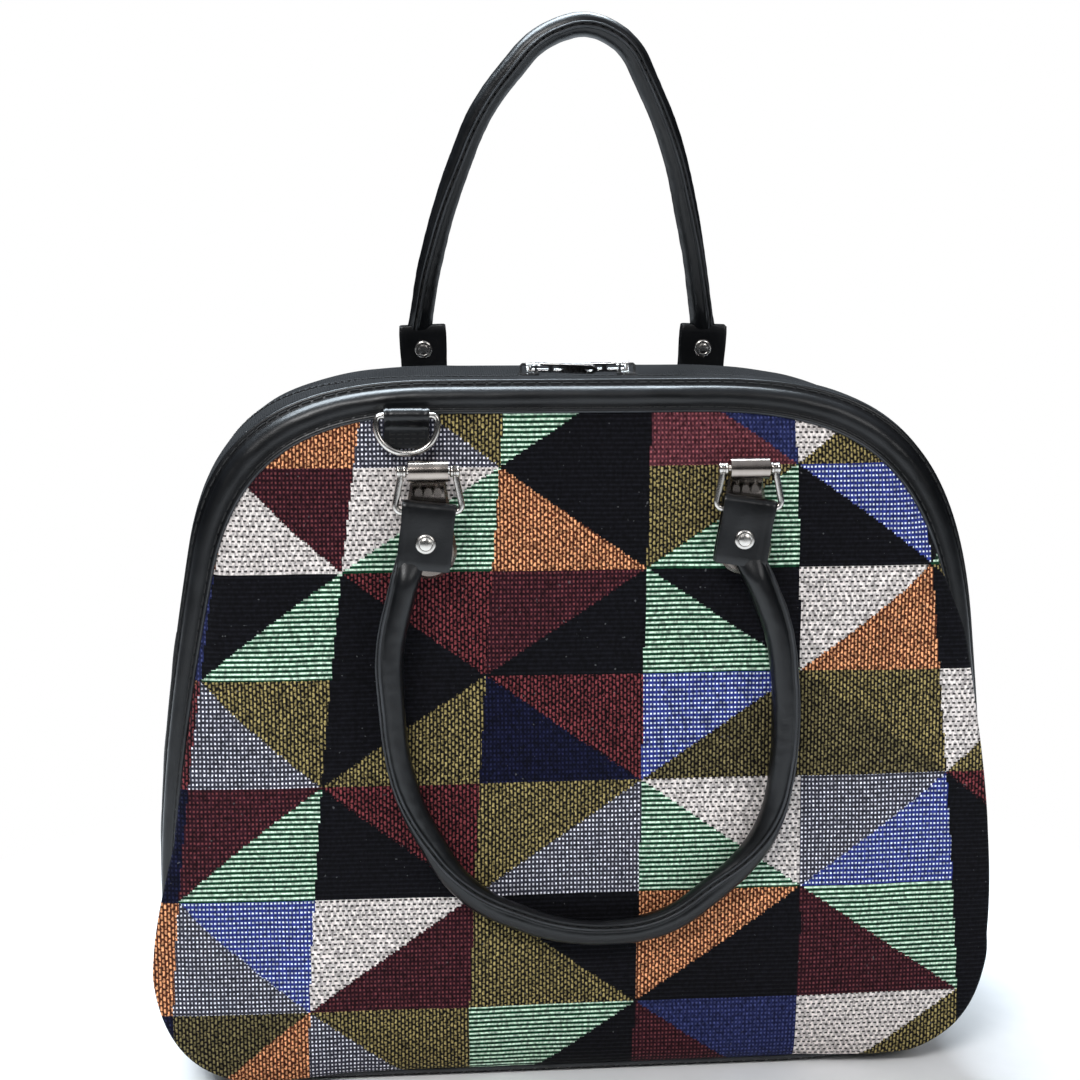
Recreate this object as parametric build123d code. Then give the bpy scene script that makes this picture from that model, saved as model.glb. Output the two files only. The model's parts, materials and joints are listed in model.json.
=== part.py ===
from build123d import *
import math
import os

# A domed top-zip handbag with two rolled handles, in millimetres.
# X runs across the front, Y to the back and Z up. The origin is on the base, under the middle.

# Driving sizes of the bag body
bag_half_width = 196.0
bag_height = 329.0
half_depth_top = 47.0
half_depth_base = 50.0
panel_thickness = 3.0
soft_gap = 0.15

# Padded binding round each panel
binding_width = 14.5
binding_margin = 3.2
binding_thickness = 1.6
roll_rise = 2.4
lean_top = 0.45
lean_base = 0.80
base_side_margin = 2.0
base_side_slope = 0.25
base_edge_lift = 2.6

# Crown of the panels beyond the binding
bulge_top = 6.0
bulge_base = 8.0

# Gusset, zip and base board
canvas_thickness = 1.2
canvas_margin = 0.2
gusset_inset = 1.8
gusset_join_height = 215.0
strip_edge = 5.0
tape_half_width = 14.0
tape_thickness = 0.6
tape_gap = 1.0
tape_seam = 0.1
coil_half_width = 3.4
coil_height = 1.9
coil_gap = 0.1
slider_slot = 1.6
slot_left = -60.0
slot_right = 56.0
board_left = -121.0
board_right = 94.0
board_depth = 84.0
board_thickness = 2.4
board_corner = 12.0

# Lining
lining_depth = 42.5
lining_margin = 9.0
lining_base = 4.4
lining_thickness = 0.6
zip_mouth = 9.0

# Zip sliders and pulls
slider_places = {"left": -19.5, "right": 28.0}
slider_length = 10.0
slider_width = 9.4
slider_plate = 1.2
slider_clearance = 0.35
post_length = 6.0
post_thickness = 1.0
bail_length = 8.4
bail_thickness = 1.6
bail_wire = 1.2
pull_height = 2.6
pull_length = 33.0
pull_width = 7.4
pull_thickness = 1.2
pull_frame = 1.5
pull_window = 10.0
pull_slot = 5.0
pull_eye = 6.0
pull_bar_radius = 0.6
pull_gap = 0.4
pull_rest_gap = 0.35

# Handle anchors and the washers that hold them
anchor_places = {"left": -68.5, "right": 74.6}
anchor_drops = {"front": 39.0, "back": 24.0}
barrel_length = 17.5
barrel_radius = 4.7
barrel_standoff = 10.0
neck_width = 14.0
neck_turn = 8.5
neck_foot = 12.5
neck_crest = 1.0
neck_set_back = 0.7
neck_rise = 0.6
spoon_bevel = 0.9
flute_radius = 1.7
flute_depth = 0.7
flute_pitch = 4.3
flute_length = 6.4
spoon_half_width = 12.5
spoon_drop = 37.0
spoon_rim = 1.6
spoon_crown = 1.6
post_radius = 2.0
post_clearance = 0.25
post_drops = (19.0, 38.0)
post_tail = 0.8
washer_radius = 5.5
washer_thickness = 1.2
washer_fit = 0.05

# Rings and their pins
pin_radius = 1.5
pin_clearance = 0.06
pin_length = 27.0
knob_radius = 2.7
knob_centre = 11.7
knob_width = 4.4
ring_wire = 1.4
ring_drop = 18.0
ring_half_width = 15.3
ring_corner = 3.0
wire_sides = 8
small_sides = 12

# Handles
tube_radius = 6.3
tube_sides = 10
tube_taper = 14.0
flap_width = 24.0
flap_leather = 1.5
flap_length = 26.0
fold_clearance = 0.5
fold_roundness = 0.9
tab_tilts = {"front": {"left": -6.0, "right": -9.0}, "back": {"left": -2.0, "right": 2.0}}
rivet_drop = 14.0
rivet_radius = 4.6
rivet_rise = 1.3
rivet_edge = 0.8
rivet_shank = 1.6
rivet_fit = 0.05
handle_gap = 0.4
back_lean = 8.0

# Strap keeper and its ring
keeper_place = -77.6
keeper_width = 20.0
keeper_leather = 1.6
keeper_length = 14.5
strap_ring_wire = 1.4
strap_ring_half_width = 13.6
strap_ring_depth = 16.6
strap_ring_bend = 12.6
strap_ring_corner = 2.4
strap_ring_gap = 0.7
strap_ring_rest = 0.35
strap_bar_drop = 15.6

# Middle line of each handle's tube: across the bag, and how far below the pins the front one
# hangs or above them the back one stands. Between the points the tube runs straight, with a
# wide bend at each.
tube_points = {
    "front": [
        (-79.5, 51.0), (-87.0, 80.0), (-84.5, 140.0), (-55.0, 195.0), (-8.0, 214.0), (38.0, 213.0),
        (88.0, 172.0), (94.0, 115.0), (89.5, 75.0), (79.5, 51.0),
    ],
    "back": [
        (-69.2, 52.0), (-66.5, 69.0), (-58.0, 103.0), (-40.0, 150.0), (-12.0, 183.0),
        (12.0, 191.0), (33.0, 181.0), (56.0, 135.0), (67.5, 87.0), (73.4, 52.0),
    ],
}

# Outline of a panel as shares of the half width and height, with the rise of the zip line in mm.
# Every third point is on the outline and the two between steer the curve. The left arch runs
# from the flat base up to the level stretch on top, and the right arch back down.
left_arch = [
    (-0.64, 0.0, 0.0), (-0.90, 0.0, 0.0), (-1.0, 0.08, 0.0),
    (-1.0, 0.27, 0.0), (-1.0, 0.45, 0.0), (-0.945, 0.64, 0.0),
    (-0.90, 0.78, 3.0), (-0.835, 0.96, 9.0), (-0.62, 1.0, -3.0),
    (-0.32, 1.0, -3.0),
]
right_arch = [
    (0.30, 1.0, -3.0), (0.70, 1.0, -3.0), (0.90, 0.93, 9.0),
    (0.955, 0.65, 3.0), (0.974, 0.552, 0.0), (0.995, 0.46, 0.0),
    (0.995, 0.36, 0.0), (1.0, 0.08, 0.0), (0.93, 0.0, 0.0),
    (0.50, 0.0, 0.0),
]

# Crown of a panel: share of the bulge, then how far in from the binding's inner edge
# low on the sides, high on the sides, at the top and at the base
crown_profile = [
    (0.45, -6.5, 7.0, 9.0, 3.5), (0.72, -5.0, 18.0, 24.0, 11.0), (0.90, 8.0, 38.0, 52.0, 28.0),
    (1.0, 45.0, 75.0, 100.0, 62.0),
]


def smooth_edges(points):
    """Cubic curves through every third point, steered by the two between."""
    return [Edge.make_bezier(*points[start:start + 4]) for start in range(0, len(points) - 1, 3)]


def section(y_low, y_high, side_low, side_high, top, bottom, crest=0.0):
    """One closed outline of the bag in a leaning plane, pulled in by the margins."""
    def place(share_x, share_z, rise):
        side = side_low + (side_high - side_low) * share_z
        height = bottom + share_z * (bag_height - top - bottom) + rise * crest
        depth = y_low + (y_high - y_low) * share_z
        return Vector(share_x * (bag_half_width - side), depth, height)

    left = [place(*point) for point in left_arch]
    right = [place(*point) for point in right_arch]
    top = [Edge.make_line(left[-1], right[0])]
    edges = smooth_edges(left) + top + smooth_edges(right) + [Edge.make_line(right[-1], left[0])]
    return edges


def binding_row(across, rise):
    """Outline at a distance across the binding, raised by rise from its seat."""
    share = across / binding_width
    return (
        -(half_depth_base + lean_base * across + 0.3 * rise),
        -(half_depth_top + lean_top * across + 0.9 * rise),
        base_side_margin + base_side_slope * across - rise,
        across - 0.4 * rise,
        across - 0.4 * rise,
        base_edge_lift * share ** 3 - min(rise, 0.0),
    )


def ruled_face(first, second):
    """The face between two matching edges, a true plane where both are straight."""
    if first.geom_type == GeomType.LINE:
        return Face(Wire.make_polygon([first @ 0, first @ 1, second @ 1, second @ 0]))
    return Face.make_surface_from_curves(first, second)


def ruled_faces(first, second):
    """Ruled faces between two outlines with matching edges."""
    return [ruled_face(a, b) for a, b in zip(first, second)]


def ring_solid(rows):
    """A closed band through a loop of outlines."""
    loops = [section(*row) for row in rows]
    faces = []
    for first, second in zip(loops, loops[1:] + loops[:1]):
        faces += ruled_faces(first, second)
    return Solid(Shell(faces))


def bowl_solid(face_rows, inside_rows):
    """A crowned sheet between its face and its inside, both closed by a flat middle."""
    outer = [section(*row) for row in face_rows]
    inner = [section(*row) for row in inside_rows]
    faces = ruled_faces(outer[0], inner[0])
    for loops in (outer, inner):
        for first, second in zip(loops, loops[1:]):
            faces += ruled_faces(first, second)
        faces.append(Face(Wire(loops[-1])))
    return Solid(Shell(faces))


def make_front_binding():
    roll = binding_width - 2 * binding_margin
    profile = [
        (0.0, 0.0), (binding_margin, 0.0), (binding_margin + 0.12 * roll, 0.65 * roll_rise),
        (binding_margin + 0.5 * roll, roll_rise), (binding_margin + 0.88 * roll, 0.65 * roll_rise),
        (binding_width - binding_margin, 0.0), (binding_width, 0.0),
    ]
    under = [(binding_width, -binding_thickness), (binding_width / 2, -binding_thickness), (0.0, -binding_thickness)]
    return ring_solid([binding_row(*point) for point in profile + under])


def panel_rows(inset):
    """Outlines of a panel's face, or of its inside where inset is its thickness."""
    seat = -(binding_thickness + soft_gap + inset)
    stations = (1.0, binding_width / 2, binding_width)
    rows = [binding_row(station, seat) for station in stations]
    edge = binding_row(binding_width, -(binding_thickness + soft_gap))
    for share, low, high, top, base in crown_profile:
        rows.append((
            edge[0] - bulge_base * share + inset,
            edge[1] - bulge_top * share + inset,
            edge[2] + low + inset,
            edge[3] + high + inset * 0.3,
            edge[4] + top + inset * 0.3,
            edge[5] + base + inset,
        ))
    return rows


def canvas_row(depth, margin):
    """Outline of the gusset at a depth and a distance under the bag's outline."""
    level = 1 - abs(depth) / half_depth_top
    low = depth * half_depth_base / half_depth_top
    base = margin - canvas_margin
    return low, depth, base_side_margin + margin, margin, margin, base, level


def canvas_hoop(front, back, margin, thickness):
    """A thin hoop of the gusset between two depths."""
    outer = [canvas_row(front, margin), canvas_row(back, margin)]
    inner = [canvas_row(back, margin + thickness), canvas_row(front, margin + thickness)]
    return ring_solid(outer + inner)


def above_join(hoop):
    """The part of a hoop that lies above the seam of the lower gusset."""
    cut = Pos(0, 0, gusset_join_height - bag_height) * Box(4 * bag_half_width, bag_height, 2 * bag_height)
    return hoop - cut


def make_lower_gusset():
    edge = half_depth_top - gusset_inset
    hoop = canvas_hoop(-edge, edge, canvas_margin, canvas_thickness)
    cut = Pos(0, 0, gusset_join_height + bag_height) * Box(4 * bag_half_width, bag_height, 2 * bag_height)
    return hoop - cut


def make_zip_strip():
    edge = half_depth_top - gusset_inset
    return above_join(canvas_hoop(-edge, -strip_edge, canvas_margin, canvas_thickness))


def make_zip_tape():
    return above_join(canvas_hoop(-tape_half_width, -tape_gap, tape_margin, tape_thickness))


def make_zip_coil():
    """One row of the zip's coil, set back where the sliders' posts run."""
    hoop = canvas_hoop(-coil_half_width, -coil_gap, coil_margin, coil_height)
    slot_length = slot_right - slot_left
    slot = Box(slot_length, slider_slot, bag_height)
    return above_join(hoop) - Pos((slot_left + slot_right) / 2, 0, bag_height) * slot


def make_base_board():
    outline = Rectangle(board_right - board_left, board_depth)
    outline = fillet(outline.vertices(), board_corner)
    middle = (board_left + board_right) / 2
    return Pos(middle, 0, canvas_thickness + soft_gap) * extrude(outline, board_thickness)


def lining_block(inset):
    """A closed block of the lining's outer shape, or of its inside."""
    rows = []
    for side in (-1, 1):
        depth = side * (lining_depth - inset)
        low = depth + side * (half_depth_base - half_depth_top)
        margin = lining_margin + inset
        rows.append(section(low, depth, margin, margin, margin, lining_base + inset))
    faces = ruled_faces(rows[0], rows[1]) + [Face(Wire(rows[0])), Face(Wire(rows[1]))]
    return Solid(Shell(faces))


def make_lining():
    """The sewn lining, open along the zip."""
    mouth = Box(4 * bag_half_width, 2 * zip_mouth, bag_height)
    mouth = Pos(0, 0, gusset_join_height + bag_height / 2) * mouth
    return lining_block(0.0) - lining_block(lining_thickness) - mouth


def skin_depth(x, height):
    """Where the face of the plain front panel lies at a place, as a Y value."""
    ray = Axis((x, -4 * half_depth_base, height), (0, 1, 0))
    return min(point.Y for point, normal in plain_panel.find_intersection_points(ray))


def skin_frame(x, top, bottom, half_width, lift=0.0):
    """A plane laid against the front panel, its Y running up the panel and its Z outward."""
    high = skin_depth(x, top) - lift
    slope = (high - skin_depth(x, bottom)) / (top - bottom)
    crown = 0.0
    for step in (0.0, 0.25, 0.5, 0.75, 1.0):
        height = top + (bottom - top) * step
        for side in (-half_width, 0.0, half_width):
            crown = min(crown, skin_depth(x + side, height) - high - slope * (height - top))
    origin = Vector(x, high + crown - soft_gap, top)
    return Plane(origin=origin, x_dir=(1, 0, 0), z_dir=(0, -1, slope))


def anchor_seat(side, drop):
    """The plane under one anchor's plate, level with its pin."""
    top = bag_height - drop
    bottom = top - spoon_drop - spoon_half_width
    return skin_frame(anchor_places[side], top, bottom, spoon_half_width)


def bar_along_x(radius, length):
    return Cylinder(radius, length, rotation=(0, 90, 0))


def post_depth(seat, drop):
    """How deep below the plate the inside of the panel lies round a post."""
    depths = []
    for across, along in ((0, 0), (washer_radius, 0), (-washer_radius, 0), (0, washer_radius), (0, -washer_radius)):
        start = seat.from_local_coords((across, along - drop, 0))
        hits = plain_panel.find_intersection_points(Axis(start + seat.z_dir, -seat.z_dir))
        depths.append(max((start - point).dot(seat.z_dir) for point, normal in hits))
    return max(depths)


def make_anchor(seat, pin_spot):
    """One cast anchor: a barrel for the pin, a fluted neck and a plate with two posts."""
    pin = seat.to_local_coords(pin_spot)
    round_end = Pos(0, -spoon_drop) * Circle(spoon_half_width)
    shoulder = Pos(0, -neck_turn / 2) * Rectangle(neck_width, neck_turn)
    outline = make_hull(round_end.edges() + shoulder.edges())
    plate = extrude(outline, spoon_rim + spoon_crown)
    plate = chamfer(plate.faces().sort_by(Axis.Z)[-1].edges(), spoon_crown * spoon_bevel)

    face = spoon_rim + spoon_crown
    start = (pin.Y - neck_set_back * barrel_radius, pin.Z + neck_rise * barrel_radius)
    middle = (-neck_turn, face + neck_crest)
    end = (-neck_foot, face)
    back = pin.Y + neck_rise * barrel_radius
    front_curve = ThreePointArc(start, middle, end)
    rest = Polyline(end, (-neck_foot, 0), (back, 0), (back, pin.Z), start)
    profile = make_face(front_curve.edges() + rest.edges())
    neck = extrude(Plane.YZ * profile, neck_width / 2, both=True)
    slope = Vector(0, end[0] - start[0], end[1] - start[1]).normalized()
    outward = Vector(0, slope.Z, -slope.Y)
    spot = Vector(0, middle[0], middle[1]) + outward * (flute_radius - flute_depth)
    for across in (-flute_pitch, 0.0, flute_pitch):
        place = Plane(origin=spot + Vector(across, 0, 0), z_dir=slope)
        neck -= place * Cylinder(flute_radius, flute_length)

    anchor = plate + neck + Pos(0, pin.Y, pin.Z) * bar_along_x(barrel_radius, barrel_length)
    anchor -= Pos(0, pin.Y, pin.Z) * bar_along_x(pin_radius + pin_clearance, 2 * barrel_length)
    for drop in post_drops:
        length = post_depth(seat, drop) + soft_gap + washer_thickness + post_tail
        anchor += Pos(0, -drop, -length / 2) * Cylinder(post_radius, length)
    return seat.location * anchor


def make_washers(seat):
    """The two washers inside the panel, one on each post."""
    washers = []
    ring = extrude(RegularPolygon(washer_radius, wire_sides) - Circle(post_radius + washer_fit), washer_thickness)
    for drop in post_drops:
        depth = post_depth(seat, drop) + soft_gap + washer_thickness
        washers.append(seat.location * (Pos(0, -drop, -depth) * ring))
    return washers


def panel_with_holes(seats):
    """The plain front panel with a hole for each anchor post."""
    panel = Part() + plain_panel
    for seat in seats:
        for drop in post_drops:
            drill = Pos(0, -drop, 0) * Cylinder(post_radius + post_clearance, 8 * panel_thickness)
            panel -= seat.location * drill
    return panel


def make_ring(frame, x):
    """One ring of bent wire that ends in two knobs on the pin."""
    route = FilletPolyline(
        (-knob_centre, 0), (-ring_half_width, -ring_drop), (ring_half_width, -ring_drop), (knob_centre, 0),
        radius=ring_corner,
    )
    profile = Plane(origin=route @ 0, z_dir=route % 0) * RegularPolygon(ring_wire, wire_sides)
    ring = sweep(profile, path=route)
    for side in (-1, 1):
        knob = extrude(Plane.YZ * RegularPolygon(knob_radius, small_sides), knob_width / 2, both=True)
        ring += Pos(side * knob_centre, 0, 0) * knob
    ring -= bar_along_x(pin_radius, 2 * pin_length)
    return frame.location * (Pos(x, 0, 0) * ring)


def make_pin(frame, x):
    return frame.location * (Pos(x, 0, 0) * bar_along_x(pin_radius, pin_length))


def bend_radii(points):
    """The widest bend that each corner's shorter run allows."""
    radii = []
    for before, corner, after in zip(points, points[1:], points[2:]):
        turn = (corner - before).get_angle(after - corner)
        run = min((corner - before).length, (after - corner).length)
        radii.append(0.45 * run / math.tan(math.radians(turn / 2)))
    return radii


def make_tab(tilt):
    """A leather flap folded over the ring's bar, from the bar down."""
    half = ring_wire + fold_clearance + flap_leather
    room = flap_width / 2 * math.tan(math.radians(abs(tilt))) + ring_wire + fold_clearance
    top = room + flap_leather
    tab = Pos(0, (top - flap_length) / 2, 0) * Box(flap_width, top + flap_length, 2 * half)
    crest = tab.edges().filter_by(Axis.X).group_by(Axis.Y)[-1]
    tab = fillet(crest, half * fold_roundness)
    tab -= Box(2 * flap_width, 2 * room, 2 * (ring_wire + fold_clearance))
    return tab - Pos(0, -rivet_drop, 0) * Cylinder(rivet_shank + rivet_fit, 4 * half)


def tab_place(side, row):
    """Where a tab's folded end sits in the handle's plane."""
    return Pos(anchor_places[side], -ring_drop, 0) * Rot(0, 0, tab_tilts[row][side])


def make_handle(frame, row, lean):
    """A rolled handle: one tube with a folded flap at each end."""
    points = [Vector(across, -reach / math.cos(lean)) for across, reach in tube_points[row]]
    route = FilletPolyline(*points, radius=bend_radii(points))
    profile = Plane(origin=route @ 0, z_dir=route % 0) * RegularPolygon(tube_radius, tube_sides)
    handle = sweep(profile, path=route)
    half = ring_wire + fold_clearance + flap_leather
    for spot, outward in ((route @ 0, -(route % 0)), (route @ 1, route % 1)):
        end = loft([
            Plane(origin=spot, z_dir=outward) * RegularPolygon(tube_radius, tube_sides),
            Plane(origin=spot + outward * tube_taper, z_dir=outward) * RegularPolygon(half, tube_sides),
        ])
        handle += end
    for side in anchor_places:
        handle += tab_place(side, row) * make_tab(tab_tilts[row][side])
    return frame.location * handle


def make_rivets(frame, row):
    """The rivet through each flap, with a low head on both faces."""
    half = ring_wire + fold_clearance + flap_leather
    head = extrude(RegularPolygon(rivet_radius, small_sides), rivet_rise)
    head = Pos(0, 0, half) * chamfer(head.faces().sort_by(Axis.Z)[-1].edges(), rivet_edge)
    rivet = head + mirror(head, about=Plane.XY) + Cylinder(rivet_shank, 2 * half)
    return [
        frame.location * (tab_place(side, row) * (Pos(0, -rivet_drop, 0) * rivet)) for side in anchor_places
    ]


def make_keeper(seat):
    """The doubled strap sewn to the panel, with a loop at its top."""
    doubled = 2 * keeper_leather
    inner = strap_ring_wire + strap_ring_gap
    loop = bar_along_x(inner + keeper_leather, keeper_width)
    strap = Pos(0, -keeper_length / 2, doubled / 2) * Box(keeper_width, keeper_length, doubled)
    keeper = strap + Pos(0, 0, strap_ring_lift) * loop
    keeper -= Pos(0, 0, strap_ring_lift) * bar_along_x(inner, 2 * keeper_width)
    return seat.location * keeper


def make_strap_ring(seat):
    """The D-shaped ring, its straight bar through the keeper's loop."""
    half = strap_ring_half_width
    route = FilletPolyline(
        (0, 0), (half, 0), (half, -strap_ring_depth), (0, -strap_ring_depth),
        radius=[strap_ring_corner, strap_ring_bend],
    )
    profile = Plane(origin=route @ 0, z_dir=route % 0) * RegularPolygon(strap_ring_wire, wire_sides)
    right_half = sweep(profile, path=route)
    ring = right_half + mirror(right_half, about=Plane.YZ)
    return seat.location * (Pos(0, 0, strap_ring_lift) * ring)


def make_slider(place):
    """A zip slider: two plates joined by a post, with a bail on top."""
    top = zip_top + slider_clearance
    bottom = zip_under - slider_clearance
    plate = Box(slider_length, slider_width, slider_plate)
    plate = chamfer(plate.edges().filter_by(Axis.Z), slider_width / 4)
    upper = Pos(0, 0, top + slider_plate / 2) * plate
    lower = Pos(0, 0, bottom - slider_plate / 2) * plate
    post = Pos(0, 0, (top + bottom) / 2) * Box(post_length, post_thickness, top - bottom)
    room = pull_height + pull_bar_radius + slider_clearance
    bail = Box(bail_length, bail_thickness, room + bail_wire)
    bail = chamfer(bail.edges().filter_by(Axis.Y).group_by(Axis.Z)[-1], bail_wire)
    bail -= Pos(0, 0, -bail_wire) * Box(bail_length - 2 * bail_wire, 2 * bail_thickness, room + bail_wire)
    bail = Pos(0, 0, top + slider_plate + (room + bail_wire) / 2) * bail
    return Pos(place, 0, 0) * (upper + lower + post + bail)


def make_pull(place, turn, slope):
    """A flat zip pull whose end bar turns under the bail."""
    body = Pos(pull_length / 2, 0, 0) * Box(pull_length, pull_width, pull_thickness)
    body = chamfer(body.edges().filter_by(Axis.Z), pull_frame)
    inner = pull_width - 2 * pull_frame
    window = Pos(pull_window / 2, 0, 0) * Box(pull_window, inner, 4 * pull_thickness)
    slot_start = pull_window + pull_frame
    slot = Pos(slot_start + pull_slot / 2, 0, 0) * Box(pull_slot, inner, 4 * pull_thickness)
    eye_start = pull_length - pull_frame - pull_eye
    eye = Pos(eye_start + pull_eye / 2, 0, 0) * Box(pull_eye, inner, 4 * pull_thickness)
    bar = Cylinder(pull_bar_radius, pull_width, rotation=(90, 0, 0))
    pull = body - window - slot - eye + bar
    height = zip_top + slider_clearance + slider_plate + pull_height
    return Pos(place, 0, height) * (Rot(0, 0, turn) * (Rot(0, slope, 0) * pull))


tape_margin = canvas_margin + canvas_thickness + tape_seam
coil_margin = tape_margin - coil_height
level_rise = left_arch[-1][2]
zip_top = bag_height - coil_margin + level_rise * (1 - coil_half_width / half_depth_top)
zip_under = bag_height - tape_margin - tape_thickness + level_rise

plain_panel = bowl_solid(panel_rows(0.0), panel_rows(panel_thickness))
front_binding = make_front_binding()
zip_strip = make_zip_strip()
zip_tape = make_zip_tape()
zip_coil = make_zip_coil()

nodes = {
    "front_binding": front_binding,
    "back_binding": mirror(front_binding, about=Plane.XZ),
    "lower_gusset": make_lower_gusset(),
    "zip_strip_front": zip_strip,
    "zip_strip_back": mirror(zip_strip, about=Plane.XZ),
    "zip_tape_front": zip_tape,
    "zip_tape_back": mirror(zip_tape, about=Plane.XZ),
    "zip_coil_front": zip_coil,
    "zip_coil_back": mirror(zip_coil, about=Plane.XZ),
    "base_board": make_base_board(),
    "lining": make_lining(),
}

# The anchors of each panel share one pin axis. The back ones are made on the front and mirrored.
seats = {}
pin_axes = {}
washers = []
for row, drop in anchor_drops.items():
    seats[row] = {side: anchor_seat(side, drop) for side in anchor_places}
    spots = [seat.from_local_coords((0, 0, barrel_standoff)).Y for seat in seats[row].values()]
    pin_axes[row] = Vector(0, min(spots), bag_height - drop)
    panel = panel_with_holes(seats[row].values())
    flip = row == "back"
    nodes[row + "_panel"] = mirror(panel, about=Plane.XZ) if flip else panel
    for side, seat in seats[row].items():
        anchor = make_anchor(seat, pin_axes[row] + Vector(anchor_places[side], 0, 0))
        nodes[row + "_" + side + "_anchor"] = mirror(anchor, about=Plane.XZ) if flip else anchor
        washers += [mirror(ring, about=Plane.XZ) if flip else ring for ring in make_washers(seat)]
nodes["anchor_washers"] = Compound(washers)

# The front handle hangs down just clear of the panel and the back one stands, leaning forward.
reach = tube_radius + handle_gap
front_axis = pin_axes["front"]
slopes = [
    (front_axis.Y - skin_depth(across, front_axis.Z - drop) + reach) / drop
    for across, drop in tube_points["front"]
]
for side, place in anchor_places.items():
    tip = seats["front"][side].from_local_coords((0, -spoon_drop - spoon_half_width, spoon_rim + spoon_crown))
    slopes.append((front_axis.Y - tip.Y + reach) / (front_axis.Z - tip.Z))
front_lean = math.atan(max(slopes))
back_axis = Vector(0, -pin_axes["back"].Y, pin_axes["back"].Z)
lean = math.radians(back_lean)
frames = {
    "front": Plane(origin=front_axis, x_dir=(1, 0, 0), z_dir=(0, -math.cos(front_lean), math.sin(front_lean))),
    "back": Plane(origin=back_axis, x_dir=(1, 0, 0), z_dir=(0, math.cos(lean), math.sin(lean))),
}
leans = {"front": front_lean, "back": lean}
for row, frame in frames.items():
    for side, place in anchor_places.items():
        nodes[row + "_" + side + "_ring"] = make_ring(frame, place)
        nodes[row + "_" + side + "_pin"] = make_pin(frame, place)
    nodes[row + "_handle"] = make_handle(frame, row, leans[row])
    nodes[row + "_handle_rivets"] = Compound(make_rivets(frame, row))

keeper_top = bag_height - strap_bar_drop
strap_ring_lift = 2 * keeper_leather + strap_ring_rest + strap_ring_wire
keeper_seat = skin_frame(
    keeper_place, keeper_top, keeper_top - keeper_length, keeper_width / 2, binding_thickness + soft_gap
)
nodes["strap_keeper"] = make_keeper(keeper_seat)
nodes["strap_ring"] = make_strap_ring(keeper_seat)

# The pulls lie side by side, each turned a little and sloping down to the zip.
overlap = 2 * pull_length - (slider_places["right"] - slider_places["left"])
pull_turn = math.degrees(math.asin((pull_width + pull_gap) / (2 * pull_length - overlap)))
fall = slider_clearance + slider_plate + pull_height - pull_thickness / 2 - pull_rest_gap
pull_slope = math.degrees(math.asin(fall / pull_length))
nodes["zip_slider_left"] = make_slider(slider_places["left"])
nodes["zip_slider_right"] = make_slider(slider_places["right"])
nodes["zip_pull_left"] = make_pull(slider_places["left"], -pull_turn, pull_slope)
nodes["zip_pull_right"] = make_pull(slider_places["right"], 180 - pull_turn, pull_slope)

os.makedirs("parts", exist_ok=True)
for name, shape in nodes.items():
    export_step(shape, "parts/" + name + ".step")
print("front pin axis", front_axis, "lean", math.degrees(front_lean))
print("back pin axis", back_axis, "pull turn", pull_turn, "slope", pull_slope)
print("keeper bar", keeper_seat.from_local_coords((0, 0, strap_ring_lift)))
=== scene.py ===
import json
import math

import bmesh
import bpy
from mathutils import Matrix, Vector, noise


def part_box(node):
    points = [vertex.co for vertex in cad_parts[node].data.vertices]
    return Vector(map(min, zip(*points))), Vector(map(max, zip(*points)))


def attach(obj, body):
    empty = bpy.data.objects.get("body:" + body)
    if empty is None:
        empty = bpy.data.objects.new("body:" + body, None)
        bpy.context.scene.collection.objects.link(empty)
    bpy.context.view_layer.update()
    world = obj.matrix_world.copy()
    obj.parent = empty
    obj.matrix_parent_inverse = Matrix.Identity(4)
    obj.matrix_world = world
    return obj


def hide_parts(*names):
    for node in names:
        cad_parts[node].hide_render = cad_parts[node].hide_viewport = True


# The dressed handbag. Sizes are in millimetres until a mesh is made, and X runs across the front,
# Y to the back and Z up from the base.
mm = 0.001

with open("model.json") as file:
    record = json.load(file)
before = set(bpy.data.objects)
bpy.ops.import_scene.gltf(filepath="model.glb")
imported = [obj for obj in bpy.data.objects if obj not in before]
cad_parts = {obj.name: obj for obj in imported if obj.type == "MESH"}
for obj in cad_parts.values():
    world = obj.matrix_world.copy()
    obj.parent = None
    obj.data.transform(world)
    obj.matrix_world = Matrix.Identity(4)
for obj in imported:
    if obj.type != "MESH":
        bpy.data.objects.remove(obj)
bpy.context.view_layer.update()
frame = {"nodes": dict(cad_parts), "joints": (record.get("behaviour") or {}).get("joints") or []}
joint_spots = {joint["name"]: Vector(joint["pos_m"]) / mm for joint in frame["joints"] if "pos_m" in joint}

# Driving sizes of the bag body, as in the solids
bag_half_width = 196.0
bag_height = 329.0
half_depth_top = 47.0
half_depth_base = 50.0
binding_width = 14.5
binding_margin = 3.2
lean_top = 0.45
lean_base = 0.80
base_side_margin = 2.0
base_side_slope = 0.25
base_edge_lift = 2.6
panel_seat = -1.75
bulge_top = 6.0
bulge_base = 8.0
canvas_margin = 0.2
join_height = 215.0
strip_edge = 5.0

# Canvas gusset and the stitches that hold it
canvas_half_depth = 46.4
canvas_thickness = 1.0
canvas_sag = 1.6
strip_seam = 8.6
outline_marks = {"gusset": 250, "strip": 170}

# How far the front cloth swells over its binding, and the row of the cloth where it swells most
swell_side = 8.6
swell_front = 2.6
swell_row = 9.0
swell_top = {"both sides": 118.0, "right side": 262.0}

# Handles, rings and anchors
anchor_places = {"left": -68.5, "right": 74.6}
ring_drop = 18.0
ring_half_width = 15.3
ring_wire = 1.45
ring_corner = 3.0
knob_centre = 11.7
knob_width = 4.4
knob_radius = 2.7
flap_width = 24.0
flap_length = 26.0
flap_leather = 1.5
rivet_drop = 14.0
rivet_radius = 4.6
tab_tilts = {"front": {"left": -6.0, "right": -9.0}, "back": {"left": -2.0, "right": 2.0}}
tube_radius = 5.9
tube_taper = 17.0

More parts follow.
